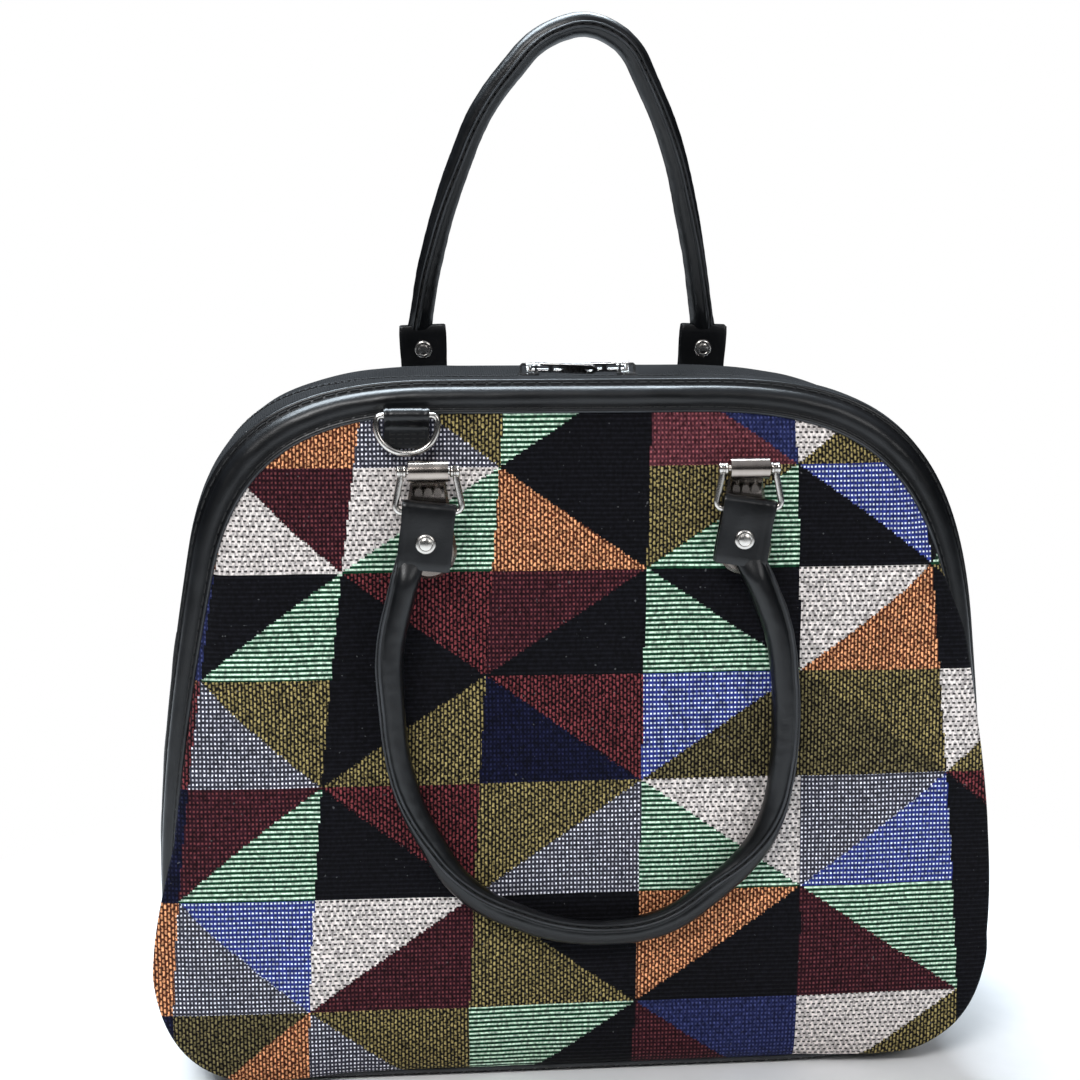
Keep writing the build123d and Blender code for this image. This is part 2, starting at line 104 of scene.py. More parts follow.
# Zip pulls: a flat loop with a frame, a window and an eye
pull_length = 32.8
pull_half_width = 3.5
pull_half_thickness = 0.38
pull_bevel = 0.2
pull_twist = 38.0
pull_fall = 1.6
pull_lift = 0.4
pull_eye = (29.2, 2.3, 2.1)

# Strap keeper and its ring
keeper_width = 20.0
keeper_leather = 1.5
keeper_length = 14.5
keeper_lift = 4.95
keeper_slope = 6.32
strap_ring_wire = 1.4
strap_ring_half_width = 13.6
strap_ring_depth = 16.6
strap_ring_bend = 12.6
strap_ring_corner = 2.4

# Middle line of each handle's tube: across the bag, and how far from the pins
tube_points = {
    "front": [
        (-79.5, 51.0), (-87.0, 80.0), (-84.5, 140.0), (-55.0, 195.0), (-8.0, 214.0), (38.0, 213.0),
        (88.0, 172.0), (94.0, 115.0), (89.5, 75.0), (79.5, 51.0),
    ],
    "back": [
        (-69.2, 52.0), (-66.5, 69.0), (-58.0, 103.0), (-40.0, 150.0), (-12.0, 183.0),
        (12.0, 191.0), (33.0, 181.0), (56.0, 135.0), (67.5, 87.0), (73.4, 52.0),
    ],
}

# Where the seam fin lies round the tube along a handle, in degrees from its outer side
fin_turns = {
    "front": [(0.0, 25.0), (0.22, 55.0), (0.42, 125.0), (0.6, 125.0), (0.8, 50.0), (1.0, 15.0)],
    "back": [(0.0, -70.0), (0.35, -95.0), (0.65, -80.0), (1.0, -60.0)],
}

# Outline of a panel as shares of its half width and height, with the rise of the zip line
left_arch = [
    (-0.64, 0.0, 0.0), (-0.90, 0.0, 0.0), (-1.0, 0.08, 0.0), (-1.0, 0.27, 0.0), (-1.0, 0.45, 0.0),
    (-0.945, 0.64, 0.0), (-0.90, 0.78, 3.0), (-0.835, 0.96, 9.0), (-0.62, 1.0, -3.0), (-0.32, 1.0, -3.0),
]
right_arch = [
    (0.30, 1.0, -3.0), (0.70, 1.0, -3.0), (0.90, 0.93, 9.0), (0.955, 0.65, 3.0), (0.974, 0.552, 0.0),
    (0.995, 0.46, 0.0), (0.995, 0.36, 0.0), (1.0, 0.08, 0.0), (0.93, 0.0, 0.0), (0.50, 0.0, 0.0),
]
outline_steps = (32, 42, 38, 30, 46, 24, 48, 56)

# Crown of a panel: share of the bulge, then how far in from the binding's inner edge
# low on the sides, high on the sides, at the top and at the base
crown_profile = [
    (0.45, -6.5, 7.0, 9.0, 3.5), (0.72, -5.0, 18.0, 24.0, 11.0), (0.90, 8.0, 38.0, 52.0, 28.0),
    (1.0, 45.0, 75.0, 100.0, 62.0),
]


# Shader helpers

class Net:
    """Adds nodes to one shader tree."""

    def __init__(self, tree):
        self.tree = tree

    def node(self, kind, **settings):
        made = self.tree.nodes.new(kind)
        for name, value in settings.items():
            setattr(made, name, value)
        return made

    def feed(self, socket, value):
        if isinstance(value, bpy.types.NodeSocket):
            self.tree.links.new(value, socket)
        else:
            socket.default_value = value

    def math(self, operation, first, second=0.0, third=0.0, clamp=False):
        made = self.node("ShaderNodeMath", operation=operation, use_clamp=clamp)
        for socket, value in zip(made.inputs, (first, second, third)):
            self.feed(socket, value)
        return made.outputs[0]

    def span(self, value, low, high, to_low=0.0, to_high=1.0):
        made = self.node("ShaderNodeMapRange", interpolation_type="SMOOTHSTEP")
        for socket, given in zip(made.inputs, (value, low, high, to_low, to_high)):
            self.feed(socket, given)
        return made.outputs[0]

    def wave(self, value, pitch, shift=0.0):
        turns = self.math("MULTIPLY", value, 2 * math.pi / pitch)
        return self.math("SINE", self.math("ADD", turns, shift))

    def mix(self, share, first, second):
        made = self.node("ShaderNodeMix", data_type="FLOAT")
        for socket, value in zip((made.inputs[0], made.inputs[2], made.inputs[3]), (share, first, second)):
            self.feed(socket, value)
        return made.outputs[0]

    def blend(self, share, first, second, kind="MIX"):
        made = self.node("ShaderNodeMix", data_type="RGBA", blend_type=kind)
        for socket, value in zip((made.inputs[0], made.inputs[6], made.inputs[7]), (share, first, second)):
            self.feed(socket, value)
        return made.outputs[2]

    def ramp(self, share, stops, interpolation="LINEAR"):
        made = self.node("ShaderNodeValToRGB")
        made.color_ramp.interpolation = interpolation
        while len(made.color_ramp.elements) < len(stops):
            made.color_ramp.elements.new(1.0)
        for element, (place, colour) in zip(made.color_ramp.elements, stops):
            element.position = place
            element.color = tuple(colour) + (1.0,) if len(colour) == 3 else colour
        self.feed(made.inputs[0], share)
        return made.outputs[0]

    def noise(self, spot, scale, detail=2.0, roughness=0.5):
        made = self.node("ShaderNodeTexNoise")
        self.feed(made.inputs["Vector"], spot)
        made.inputs["Scale"].default_value = scale
        made.inputs["Detail"].default_value = detail
        made.inputs["Roughness"].default_value = roughness
        return made.outputs["Fac"]

    def cells(self, spot, scale, output="Distance", feature="F1"):
        made = self.node("ShaderNodeTexVoronoi", feature=feature)
        self.feed(made.inputs["Vector"], spot)
        made.inputs["Scale"].default_value = scale
        return made.outputs[output]

    def stretch(self, spot, scale):
        made = self.node("ShaderNodeMapping")
        self.feed(made.inputs["Vector"], spot)
        made.inputs["Scale"].default_value = scale
        return made.outputs[0]

    def split(self, spot):
        made = self.node("ShaderNodeSeparateXYZ")
        self.feed(made.inputs[0], spot)
        return made.outputs

    def spot(self, across, up):
        made = self.node("ShaderNodeCombineXYZ")
        self.feed(made.inputs[0], across)
        self.feed(made.inputs[1], up)
        return made.outputs[0]

    def place(self, output="Object"):
        return self.node("ShaderNodeTexCoord").outputs[output]

    def bump(self, height, distance, strength=1.0):
        made = self.node("ShaderNodeBump")
        self.feed(made.inputs["Height"], height)
        made.inputs["Distance"].default_value = distance
        made.inputs["Strength"].default_value = strength
        return made.outputs[0]

    def use(self, group, **inputs):
        made = self.node("ShaderNodeGroup")
        made.node_tree = group
        for name, value in inputs.items():
            self.feed(made.inputs[name], value)
        return made.outputs


def new_group(name, inputs, outputs):
    """An empty shader group with its sockets, and the helper that fills it."""
    group = bpy.data.node_groups.new(name, "ShaderNodeTree")
    for label, kind, value in inputs:
        socket = group.interface.new_socket(name=label, in_out="INPUT", socket_type=kind)
        if value is not None:
            socket.default_value = value
    for label, kind in outputs:
        group.interface.new_socket(name=label, in_out="OUTPUT", socket_type=kind)
    net = Net(group)
    return group, net, net.node("NodeGroupInput").outputs, net.node("NodeGroupOutput").inputs


def new_material(name, **settings):
    """A material with its shader's own numbers set, and the helper that adds nodes."""
    material = bpy.data.materials.new(name)
    material.use_nodes = True
    net = Net(material.node_tree)
    shader = material.node_tree.nodes["Principled BSDF"]
    for label, value in settings.items():
        shader.inputs[label.replace("_", " ")].default_value = value
    return material, net, shader.inputs


# Tapestry

# Yarns of the tapestry: the light thread, the ground thread and the weave. Each ground colour is its yarn's
# hue made far darker: the real ground thread together with painted shade in the hollows between the raised
# threads
yarns = {
    "black": ((0.0077, 0.0077, 0.0108), (0.0020, 0.0020, 0.0032), "plain"),
    "navy": ((0.0110, 0.0130, 0.045), (0.0025, 0.0030, 0.0130), "grid"),
    "blue": ((0.055, 0.068, 0.195), (0.0130, 0.0169, 0.065), "grid"),
    "maroon": ((0.163, 0.039, 0.044), (0.023, 0.0052, 0.0091), "grid"),
    "brick": ((0.312, 0.088, 0.097), (0.071, 0.0185, 0.026), "grid"),
    "red": ((0.207, 0.041, 0.046), (0.0069, 0.0017, 0.0034), "dash"),
    "orange": ((0.896, 0.406, 0.189), (0.070, 0.0168, 0.0084), "dash"),
    "olive": ((0.347, 0.273, 0.105), (0.0074, 0.0063, 0.0053), "dash"),
    "dark_olive": ((0.210, 0.173, 0.075), (0.0053, 0.0037, 0.0030), "dash"),
    "mint": ((0.666, 0.883, 0.691), (0.0038, 0.038, 0.0154), "rib"),
    "periwinkle": ((0.795, 0.852, 0.950), (0.0199, 0.031, 0.185), "bead"),
    "cream": ((0.680, 0.620, 0.590), (0.050, 0.042, 0.040), "brick"),
    "grey": ((0.896, 0.868, 0.950), (0.035, 0.035, 0.050), "grid"),
}
weaves = ("plain", "grid", "dash", "rib", "bead", "brick")

# Each cell of the lattice is two triangles. A row lists its cells from the left, each with the yarn of
# its left triangle and of its right one.
lattice_rows = [
    "navy navy, orange orange, grey olive, mint black, brick blue, cream olive, black black",
    "orange orange, cream maroon, cream mint, orange black, olive mint, black periwinkle, black mint",
    "blue blue, black mint, black red, maroon black, mint black, cream orange, black olive",
    "orange red, grey olive, black olive, navy red, periwinkle dark_olive, dark_olive olive, cream olive",
    "navy navy, maroon mint, black red, olive grey, mint cream, grey periwinkle, black red",
    "orange orange, grey periwinkle, cream maroon, olive black, orange black, maroon mint, black black",
    "navy navy, dark_olive orange, grey olive, mint black, maroon blue, cream olive, black black",
]
lattice_top = 290.0
lattice_pitch = 50.4
lattice_squeeze = 0.0178
lattice_start = -4
lattice_shift = 0.5
lattice_step = 0.0011

# Pitches of the weaves, in metres
rib_pitch = 0.00222
bead_pitch = 0.0017
brick_pitch = 0.0026
dash_width = 0.00165
dash_length = 0.0030
grid_across = 0.00175
grid_up = 0.0021


def lattice_yarns(net, across, up):
    """The number of the yarn at a place on the panel, in stepped fields of triangles."""
    thread_across = net.math("SNAP", net.math("ADD", across, lattice_shift), lattice_step)
    thread_up = net.math("SNAP", up, lattice_step)
    fall = net.math("MULTIPLY_ADD", thread_up, -1 / (lattice_pitch * mm), lattice_top / lattice_pitch)
    squeeze = net.math("MULTIPLY_ADD", net.math("SUBTRACT", 5.0, fall), lattice_squeeze, 1.0)
    down = net.math("ADD", net.math("MULTIPLY", fall, squeeze), 1.0)

    height = net.math("MAXIMUM", net.math("SUBTRACT", thread_up, 0.02), 0.0)
    narrow = net.math("POWER", net.math("DIVIDE", height, 0.296), 1.6)
    cell = net.math("MULTIPLY_ADD", narrow, -0.0112, 0.0777)
    middle = net.math("MULTIPLY_ADD", net.math("SUBTRACT", thread_up, 0.09), 0.024, lattice_shift + 0.0263)
    share = net.math("DIVIDE", net.math("SUBTRACT", thread_across, middle), cell)
    high = net.math("MAXIMUM", net.math("MULTIPLY", net.math("SUBTRACT", thread_up, 0.038), 0.0276), 0.0)
    side = net.math("GREATER_THAN", share, 0.0)
    edge = net.mix(side, 0.0015, high)
    cubes = net.math("POWER", net.math("ABSOLUTE", share), 5.0)
    signed = net.math("MULTIPLY", cubes, net.math("SIGN", share))
    column = net.math("SUBTRACT", net.math("MULTIPLY_ADD", signed, edge, share), float(lattice_start))

    row_number = net.math("FLOOR", down)
    column_number = net.math("FLOOR", column)
    inside_row = net.math("SUBTRACT", down, row_number)
    inside_column = net.math("SUBTRACT", column, column_number)
    odd = net.math("FLOORED_MODULO", net.math("ADD", row_number, column_number), 2.0)
    split = net.mix(odd, inside_row, net.math("SUBTRACT", 1.0, inside_row))
    right = net.math("GREATER_THAN", inside_column, split)
    cells = len(lattice_rows[0].split(","))
    slot = net.math("MULTIPLY_ADD", column_number, 2.0, net.math("ADD", right, 0.5))
    slot = net.math("DIVIDE", slot, 2.0 * cells, clamp=True)

    names = list(yarns)
    chosen = None
    for number, row in enumerate(lattice_rows):
        fields = row.replace(",", "").split()
        stops = []
        for index, name in enumerate(fields):
            grey = (names.index(name) + 0.5) / len(names)
            stops.append((index / len(fields), (grey, grey, grey)))
        picked = net.ramp(slot, stops, "CONSTANT")
        if chosen is None:
            chosen = picked
        else:
            below = net.math("GREATER_THAN", row_number, number - 0.5)
            chosen = net.mix(below, chosen, picked)
    return chosen


def weave_masks(net, across, up):
    """How much of the light thread shows at a place in each weave, 0 to 1."""
    uneven = net.math("MULTIPLY_ADD", net.noise(net.spot(across, up), 620.0, 2.0), 1.3, -0.65)
    rib = net.wave(up, rib_pitch)
    rib_row = net.math("FLOOR", net.math("DIVIDE", up, rib_pitch))
    masks = {"rib": net.math("MULTIPLY", net.span(rib, -0.2, 0.7), net.span(uneven, -0.5, 0.15, 0.55, 1.0))}
    beads = net.math("MINIMUM", rib, net.math("ADD", net.wave(across, bead_pitch), 0.45))
    masks["bead"] = net.span(beads, -0.05, 0.75)

    half_step = net.math("MULTIPLY", rib_row, math.pi)
    dashes = net.wave(across, brick_pitch, half_step)
    dark = net.math("MULTIPLY", net.span(dashes, -0.35, 0.1), net.span(rib, 0.1, 0.65))
    masks["brick"] = net.math("SUBTRACT", 1.0, dark)

    column = net.math("DIVIDE", across, dash_width)
    column = net.math("ADD", column, net.math("MULTIPLY", uneven, 0.5))
    column_number = net.math("FLOOR", column)
    inside = net.math("SINE", net.math("MULTIPLY", net.math("SUBTRACT", column, column_number), math.pi))
    along = net.math("MULTIPLY_ADD", column_number, 0.42, net.math("DIVIDE", up, dash_length))
    inside = net.math("ADD", inside, uneven)
    float_wave = net.math("SINE", net.math("MULTIPLY", net.math("FRACT", along), math.pi))
    sides = net.span(inside, 0.42, 0.92)
    ends = net.span(net.math("ADD", float_wave, uneven), 0.20, 0.75)
    masks["dash"] = net.math("MULTIPLY", sides, ends)

    stitch = net.math("MINIMUM", net.wave(across, grid_across), net.wave(up, grid_up))
    masks["grid"] = net.span(net.math("ADD", stitch, net.math("MULTIPLY", uneven, 1.4)), -0.25, 0.55)
    masks["plain"] = net.math("MULTIPLY", net.span(net.wave(up, grid_up), -0.2, 0.9), 0.6)
    return masks


def tapestry_material():
    material, net, shader = new_material(
        "tapestry", Roughness=0.92, Sheen_Weight=0.03, Sheen_Roughness=0.5, Specular_IOR_Level=0.12
    )
    spot = net.place()
    drift = net.noise(spot, 26.0, 2.0)
    wander = net.math("MULTIPLY", net.math("SUBTRACT", drift, 0.5), 0.0013)
    across, _, up = net.split(spot)
    across = net.math("ADD", across, wander)
    up = net.math("ADD", up, wander)
    yarn = lattice_yarns(net, across, up)

    names = list(yarns)
    places = [index / len(names) for index in range(len(names))]
    light = net.ramp(yarn, [(place, yarns[name][0]) for place, name in zip(places, names)], "CONSTANT")
    # Ground colours: the ground thread darkened with painted shade where it sinks below the raised threads
    ground_with_painted_shade = net.ramp(yarn, [(place, yarns[name][1]) for place, name in zip(places, names)], "CONSTANT")
    masks = weave_masks(net, across, up)
    shown = None
    for weave in weaves:
        uses = [1.0 if yarns[name][2] == weave else 0.0 for name in names]
        picked = net.ramp(yarn, [(place, (use, use, use)) for place, use in zip(places, uses)], "CONSTANT")
        part = net.math("MULTIPLY", picked, masks[weave])
        shown = part if shown is None else net.math("ADD", shown, part)

    # Where the light thread sinks, the ground colour shows: the woven pattern, with painted shade in the
    # weave's hollows
    colour = net.blend(shown, ground_with_painted_shade, light)
    threads = net.noise(net.stretch(spot, (700.0, 90.0, 420.0)), 1.0, 2.0)
    lightness = net.span(threads, 0.28, 0.72, 0.45, 1.45)
    patches = net.math("MULTIPLY_ADD", net.noise(spot, 34.0, 3.0), 0.4, 0.8)
    shade = net.math("MULTIPLY", lightness, patches)
    colour = net.blend(1.0, colour, shade, "MULTIPLY")
    lint = net.span(net.noise(spot, 480.0, 1.0), 0.74, 0.80)
    colour = net.blend(net.math("MULTIPLY", lint, 0.12), colour, (0.6, 0.6, 0.62, 1.0))
    net.feed(shader["Base Color"], colour)
    fuzz = net.noise(spot, 1500.0, 2.0)
    height = net.math("MULTIPLY_ADD", fuzz, 0.5, net.math("ADD", shown, net.math("MULTIPLY", threads, 0.6)))
    net.feed(shader["Normal"], net.bump(height, 0.00045, 0.8))
    return material


# Other materials

def grain_group():
    """Fine pebbled grain of coated leather, with soft creases."""
    group, net, given, out = new_group(
        "leather_grain",
        [("Spot", "NodeSocketVector", None)],
        [("Height", "NodeSocketFloat"), ("Wear", "NodeSocketFloat")],
    )
    spot = given["Spot"]
    pebbles = net.cells(spot, 1300.0, feature="SMOOTH_F1")
    fine = net.noise(spot, 2600.0, 2.0)
    creases = net.noise(spot, 150.0, 3.0, 0.6)
    height = net.math("MULTIPLY_ADD", pebbles, 0.5, net.math("MULTIPLY", fine, 0.3))
    height = net.math("MULTIPLY_ADD", creases, 1.4, height)
    net.feed(out["Height"], height)
    net.feed(out["Wear"], net.noise(spot, 48.0, 3.0))
    return group


def weave_group():
    """A plain weave of round threads at a given pitch, over its own UV."""
    group, net, given, out = new_group(
        "plain_weave",
        [("Spot", "NodeSocketVector", None), ("Pitch", "NodeSocketFloat", 0.001)],
        [("Height", "NodeSocketFloat"), ("Wear", "NodeSocketFloat")],
    )
    spot = given["Spot"]
    across, up, _ = net.split(spot)
    turns_across = net.math("MULTIPLY", net.math("DIVIDE", across, given["Pitch"]), math.pi)
    turns_up = net.math("MULTIPLY", net.math("DIVIDE", up, given["Pitch"]), math.pi)
    first = net.math("SINE", turns_across)
    second = net.math("SINE", turns_up)
    over = net.math("GREATER_THAN", net.math("MULTIPLY", first, second), 0.0)
    height = net.mix(over, net.math("ABSOLUTE", second), net.math("ABSOLUTE", first))
    net.feed(out["Height"], height)
    net.feed(out["Wear"], net.noise(spot, 60.0, 3.0))
    return group


def metal_group():
    """Faint polishing marks and smudges on a small casting."""
    group, net, given, out = new_group(
        "polished_casting",
        [("Spot", "NodeSocketVector", None)],
        [("Height", "NodeSocketFloat"), ("Smudge", "NodeSocketFloat")],
    )
    spot = given["Spot"]
    marks = net.noise(net.stretch(spot, (900.0, 3000.0, 1400.0)), 1.0, 2.0)
    ripple = net.noise(spot, 260.0, 2.0)
    net.feed(out["Height"], net.math("MULTIPLY_ADD", marks, 0.25, ripple))
    net.feed(out["Smudge"], net.noise(spot, 120.0, 3.0))
    return group


grain = grain_group()
plain_weave = weave_group()
casting = metal_group()


def leather_material(name, dark, pale, roughness):
    material, net, shader = new_material(
        name, Specular_IOR_Level=0.3, Coat_Weight=0.22, Coat_Roughness=0.24
    )
    skin = net.use(grain, Spot=net.place())
    colour = net.ramp(skin["Wear"], [(0.3, dark), (0.75, pale)])
    net.feed(shader["Base Color"], colour)
    net.feed(shader["Roughness"], net.span(skin["Wear"], 0.2, 0.8, roughness - 0.05, roughness + 0.07))
    net.feed(shader["Normal"], net.bump(skin["Height"], 0.00018, 0.55))
    return material


def woven_material(name, pitch, dark, pale, depth, output="UV"):
    material, net, shader = new_material(
        name, Roughness=0.92, Sheen_Weight=0.02, Sheen_Roughness=0.5, Specular_IOR_Level=0.12
    )
    cloth = net.use(plain_weave, Spot=net.place(output), Pitch=pitch)
    # Colour follows the weave's height: painted shade in the hollows between threads and painted highlight on
    # their crowns, varied by random tone from the wear noise
    weave_painted_shade = net.math("MULTIPLY", cloth["Height"], net.math("MULTIPLY_ADD", cloth["Wear"], 0.8, 0.5))
    net.feed(shader["Base Color"], net.ramp(weave_painted_shade, [(0.15, dark), (0.95, pale)]))
    net.feed(shader["Normal"], net.bump(cloth["Height"], depth, 0.8))
    return material


def metal_material(name, dark, pale, smooth, rough):
    material, net, shader = new_material(name, Metallic=1.0)
    surface = net.use(casting, Spot=net.place())
    net.feed(shader["Base Color"], net.ramp(surface["Smudge"], [(0.25, dark), (0.75, pale)]))
    net.feed(shader["Roughness"], net.span(surface["Smudge"], 0.25, 0.75, smooth, rough))
    net.feed(shader["Normal"], net.bump(surface["Height"], 0.00002, 0.25))
    return material


def thread_material():
    material, net, shader = new_material("thread", Roughness=0.7, Specular_IOR_Level=0.3)
    # Light and dark bands along X: painted highlight and painted shade standing in for the thread's twist
    twist = net.wave(net.split(net.place())[0], 0.0006)
    stops = [(0.0, (0.006,) * 3), (1.0, (0.022,) * 3)]
    net.feed(shader["Base Color"], net.ramp(net.span(twist, -1.0, 1.0), stops))
    return material


def plastic_material(name, dark, pale):
    material, net, shader = new_material(name, Roughness=0.42, Specular_IOR_Level=0.5)
    surface = net.use(casting, Spot=net.place())
    net.feed(shader["Base Color"], net.ramp(surface["Smudge"], [(0.2, dark), (0.8, pale)]))
    net.feed(shader["Normal"], net.bump(surface["Height"], 0.00008, 0.3))
    return material


tapestry = tapestry_material()
trim = leather_material("trim", (0.0012, 0.0014, 0.0018), (0.0036, 0.0041, 0.0052), 0.36)
edge_paint = leather_material("trim_edge", (0.014, 0.015, 0.017), (0.045, 0.048, 0.053), 0.55)
canvas = woven_material("canvas", 0.0011, (0.003, 0.003, 0.0035), (0.018, 0.0185, 0.020), 0.0004)
zip_cloth = woven_material(
    "zip_cloth", 0.0006, (0.003, 0.003, 0.0035), (0.015, 0.015, 0.016), 0.0002, "Object"
)
lining_cloth = woven_material(
    "lining", 0.0008, (0.010, 0.010, 0.013), (0.030, 0.030, 0.036), 0.0002, "Object"
)
thread = thread_material()
teeth_plastic = plastic_material("zip_teeth", (0.010, 0.010, 0.011), (0.028, 0.028, 0.030))
board_plastic = plastic_material("board", (0.03, 0.03, 0.03), (0.06, 0.06, 0.06))
dark_nickel = metal_material("dark_nickel", (0.30, 0.26, 0.23), (0.42, 0.37, 0.33), 0.16, 0.28)
bright_nickel = metal_material("bright_nickel", (0.48, 0.45, 0.42), (0.62, 0.59, 0.55), 0.18, 0.30)
gunmetal = metal_material("gunmetal", (0.48, 0.47, 0.46), (0.62, 0.61, 0.60), 0.16, 0.28)


# Mesh helpers

def finish_piece(name, bm, material, body, slot, *nodes, sharp=50.0, edge=None):
    """Turns a mesh in millimetres into a piece that rides on a body."""
    bmesh.ops.scale(bm, vec=(mm, mm, mm), verts=bm.verts)
    mesh = bpy.data.meshes.new(name)
    bm.to_mesh(mesh)
    bm.free()
    mesh.materials.append(material)
    if edge:
        mesh.materials.append(edge)
    for polygon in mesh.polygons:
        polygon.use_smooth = True
    mesh.set_sharp_from_angle(angle=math.radians(sharp))
    piece = bpy.data.objects.new(name, mesh)
    bpy.context.scene.collection.objects.link(piece)
    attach(piece, body)
    if nodes:
        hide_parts(*nodes)
    return piece


def add_skin(bm, rows, closed=True, loop=False, capped=False, painted=()):
    """Adds one sheet through rows of points, with its UV in metres along and across the rows."""
    rows = [list(row) + [row[0]] if closed else list(row) for row in rows]
    if loop:
        rows.append(rows[0])
    across = len(rows[0]) - 1
    along = len(rows) - 1
    run = [0.0]
    for first, second in zip(rows, rows[1:]):
        steps = [(b - a).length for a, b in zip(first[::7], second[::7])]
        run.append(run[-1] + sum(steps) / len(steps) * mm)
    widest = max(rows[:: max(1, along // 4)], key=lambda row: distances(row)[-1])
    girth = [reach * mm for reach in distances(widest)]

    layer = bm.loops.layers.uv.verify()
    made = bmesh.ops.create_grid(bm, x_segments=across, y_segments=along, size=1.0)["verts"]
    spots = {}
    for vert in made:
        spots[vert] = (round((vert.co.x + 1) * across / 2), round((vert.co.y + 1) * along / 2))
    faces = {face for vert in made for face in vert.link_faces}
    for face in faces:
        first_column = across
        for corner in face.loops:
            column, row = spots[corner.vert]
            corner[layer].uv = (run[row], girth[column])
            first_column = min(first_column, column)
        if first_column in painted:
            face.material_index = 1
    for vert, (column, row) in spots.items():
        vert.co = rows[row][column]
    bmesh.ops.remove_doubles(bm, verts=made, dist=1e-4)
    if capped:
        open_edges = [edge for edge in bm.edges if edge.is_boundary]
        bmesh.ops.holes_fill(bm, edges=open_edges, sides=0)


def new_skin(rows, **settings):
    bm = bmesh.new()
    add_skin(bm, rows, **settings)
    bmesh.ops.recalc_face_normals(bm, faces=bm.faces)
    return bm


def distances(points):
    """Running length along a line of points."""
    run = [0.0]
    for first, second in zip(points, points[1:]):
        run.append(run[-1] + (second - first).length)
    return run


def point_at(points, run, reach):
    """The place and direction on a line at a distance from its start."""
    for index in range(len(run) - 1):
        if run[index + 1] >= reach:
            first, second = points[index:index + 2]
            step = run[index + 1] - run[index]
            share = (reach - run[index]) / step if step else 0.0
            return first.lerp(second, share), (second - first).normalized()
    return points[-1].copy(), (points[-1] - points[-2]).normalized()


def spread(points, count):
    """The same line with that many even steps."""
    run = distances(points)
    return [point_at(points, run, run[-1] * number / count)[0] for number in range(count + 1)]


def add_rod(bm, middle, direction, length, radius, sides=6):
    """Adds one short straight rod."""
    turn = direction.to_track_quat("Z", "Y").to_matrix().to_4x4()
    place = Matrix.Translation(middle) @ turn
    bmesh.ops.create_cone(
        bm, cap_ends=True, segments=sides, radius1=radius, radius2=radius, depth=length, matrix=place
    )


def add_stitches(bm, points, pitch, length, radius):
    """Adds a row of sewn stitches along a line."""
    run = distances(points)
    count = int(run[-1] / pitch)
    for number in range(count):
        middle, direction = point_at(points, run, (number + 0.5) * run[-1] / count)
        add_rod(bm, middle, direction, length, radius)


def sew(name, lines, pitch, length, radius, body="bag", slot="trim"):
    """One piece of rows of stitches along lines."""
    bm = bmesh.new()
    for line in lines:
        add_stitches(bm, line, pitch, length, radius)
    finish_piece(name, bm, thread, body, slot)


def eased(keys, share):
    """A value read from keys with soft turns."""
    for (start, first), (end, second) in zip(keys, keys[1:]):
        if share <= end:
            part = (share - start) / (end - start)
            part = part * part * (3 - 2 * part)
            return first + (second - first) * part
    return keys[-1][1]


# Bag body

def bezier(points, share):
    rest = 1 - share
    weights = (rest ** 3, 3 * rest ** 2 * share, 3 * rest * share ** 2, share ** 3)
    return sum((point * weight for point, weight in zip(points, weights)), Vector())


def outline(y_low, y_high, side_low, side_high, top, bottom, crest=0.0):
    """Points round one closed outline of the bag in a leaning plane, pulled in by the margins."""
    corners = []
    for share_x, share_z, rise in left_arch + right_arch:
        side = side_low + (side_high - side_low) * share_z
        depth = y_low + (y_high - y_low) * share_z
        height = bottom + share_z * (bag_height - top - bottom) + rise * crest
        corners.append(Vector((share_x * (bag_half_width - side), depth, height)))
    spans = [corners[0:4], corners[3:7], corners[6:10], corners[9:11]]
    spans += [corners[10:14], corners[13:17], corners[16:20], [corners[19], corners[0]]]
    points = []
    for span, steps in zip(spans, outline_steps):
        for step in range(steps):
            share = step / steps
            points.append(bezier(span, share) if len(span) == 4 else span[0].lerp(span[1], share))
    return points


def binding_row(across, rise):
    """Numbers of the outline at a distance across the binding, raised by rise from its seat."""
    share = across / binding_width
    return (
        -(half_depth_base + lean_base * across + 0.3 * rise),
        -(half_depth_top + lean_top * across + 0.9 * rise),
        base_side_margin + base_side_slope * across - rise,
        across - 0.4 * rise,
        across - 0.4 * rise,
        base_edge_lift * share ** 3 - min(rise, 0.0),
    )


def crown_rows():
    """Numbers of the outlines of a panel's face, from under the binding to its flat middle."""
    edge = binding_row(binding_width, panel_seat)
    rows = [binding_row(binding_width / 2, panel_seat), edge]
    for share, low, high, top, base in crown_profile:
        rows.append((
            edge[0] - bulge_base * share, edge[1] - bulge_top * share, edge[2] + low, edge[3] + high,
            edge[4] + top, edge[5] + base,
        ))
    return rows


def smooth_rows(rows, steps):
    """Rows of numbers with eased ones added between them."""
    full = []
    for index in range(len(rows) - 1):
        before = rows[max(index - 1, 0)]
        after = rows[min(index + 2, len(rows) - 1)]
        for step in range(steps):
            t = step / steps
            weights = (
                (-t + 2 * t ** 2 - t ** 3) / 2, (2 - 5 * t ** 2 + 3 * t ** 3) / 2,
                (t + 4 * t ** 2 - 3 * t ** 3) / 2, (t ** 3 - t ** 2) / 2,
            )
            four = (before, rows[index], rows[index + 1], after)
            full.append(tuple(sum(w * row[part] for w, row in zip(weights, four)) for part in range(6)))
    full.append(rows[-1])
    return full


def flipped(rows, row_name):
    """Rows of points for the front, or mirrored for the back."""
    if row_name == "front":
        return rows
    return [[Vector((point.x, -point.y, point.z)) for point in row] for row in rows]


def clamped(share):
    return min(1.0, max(0.0, share))


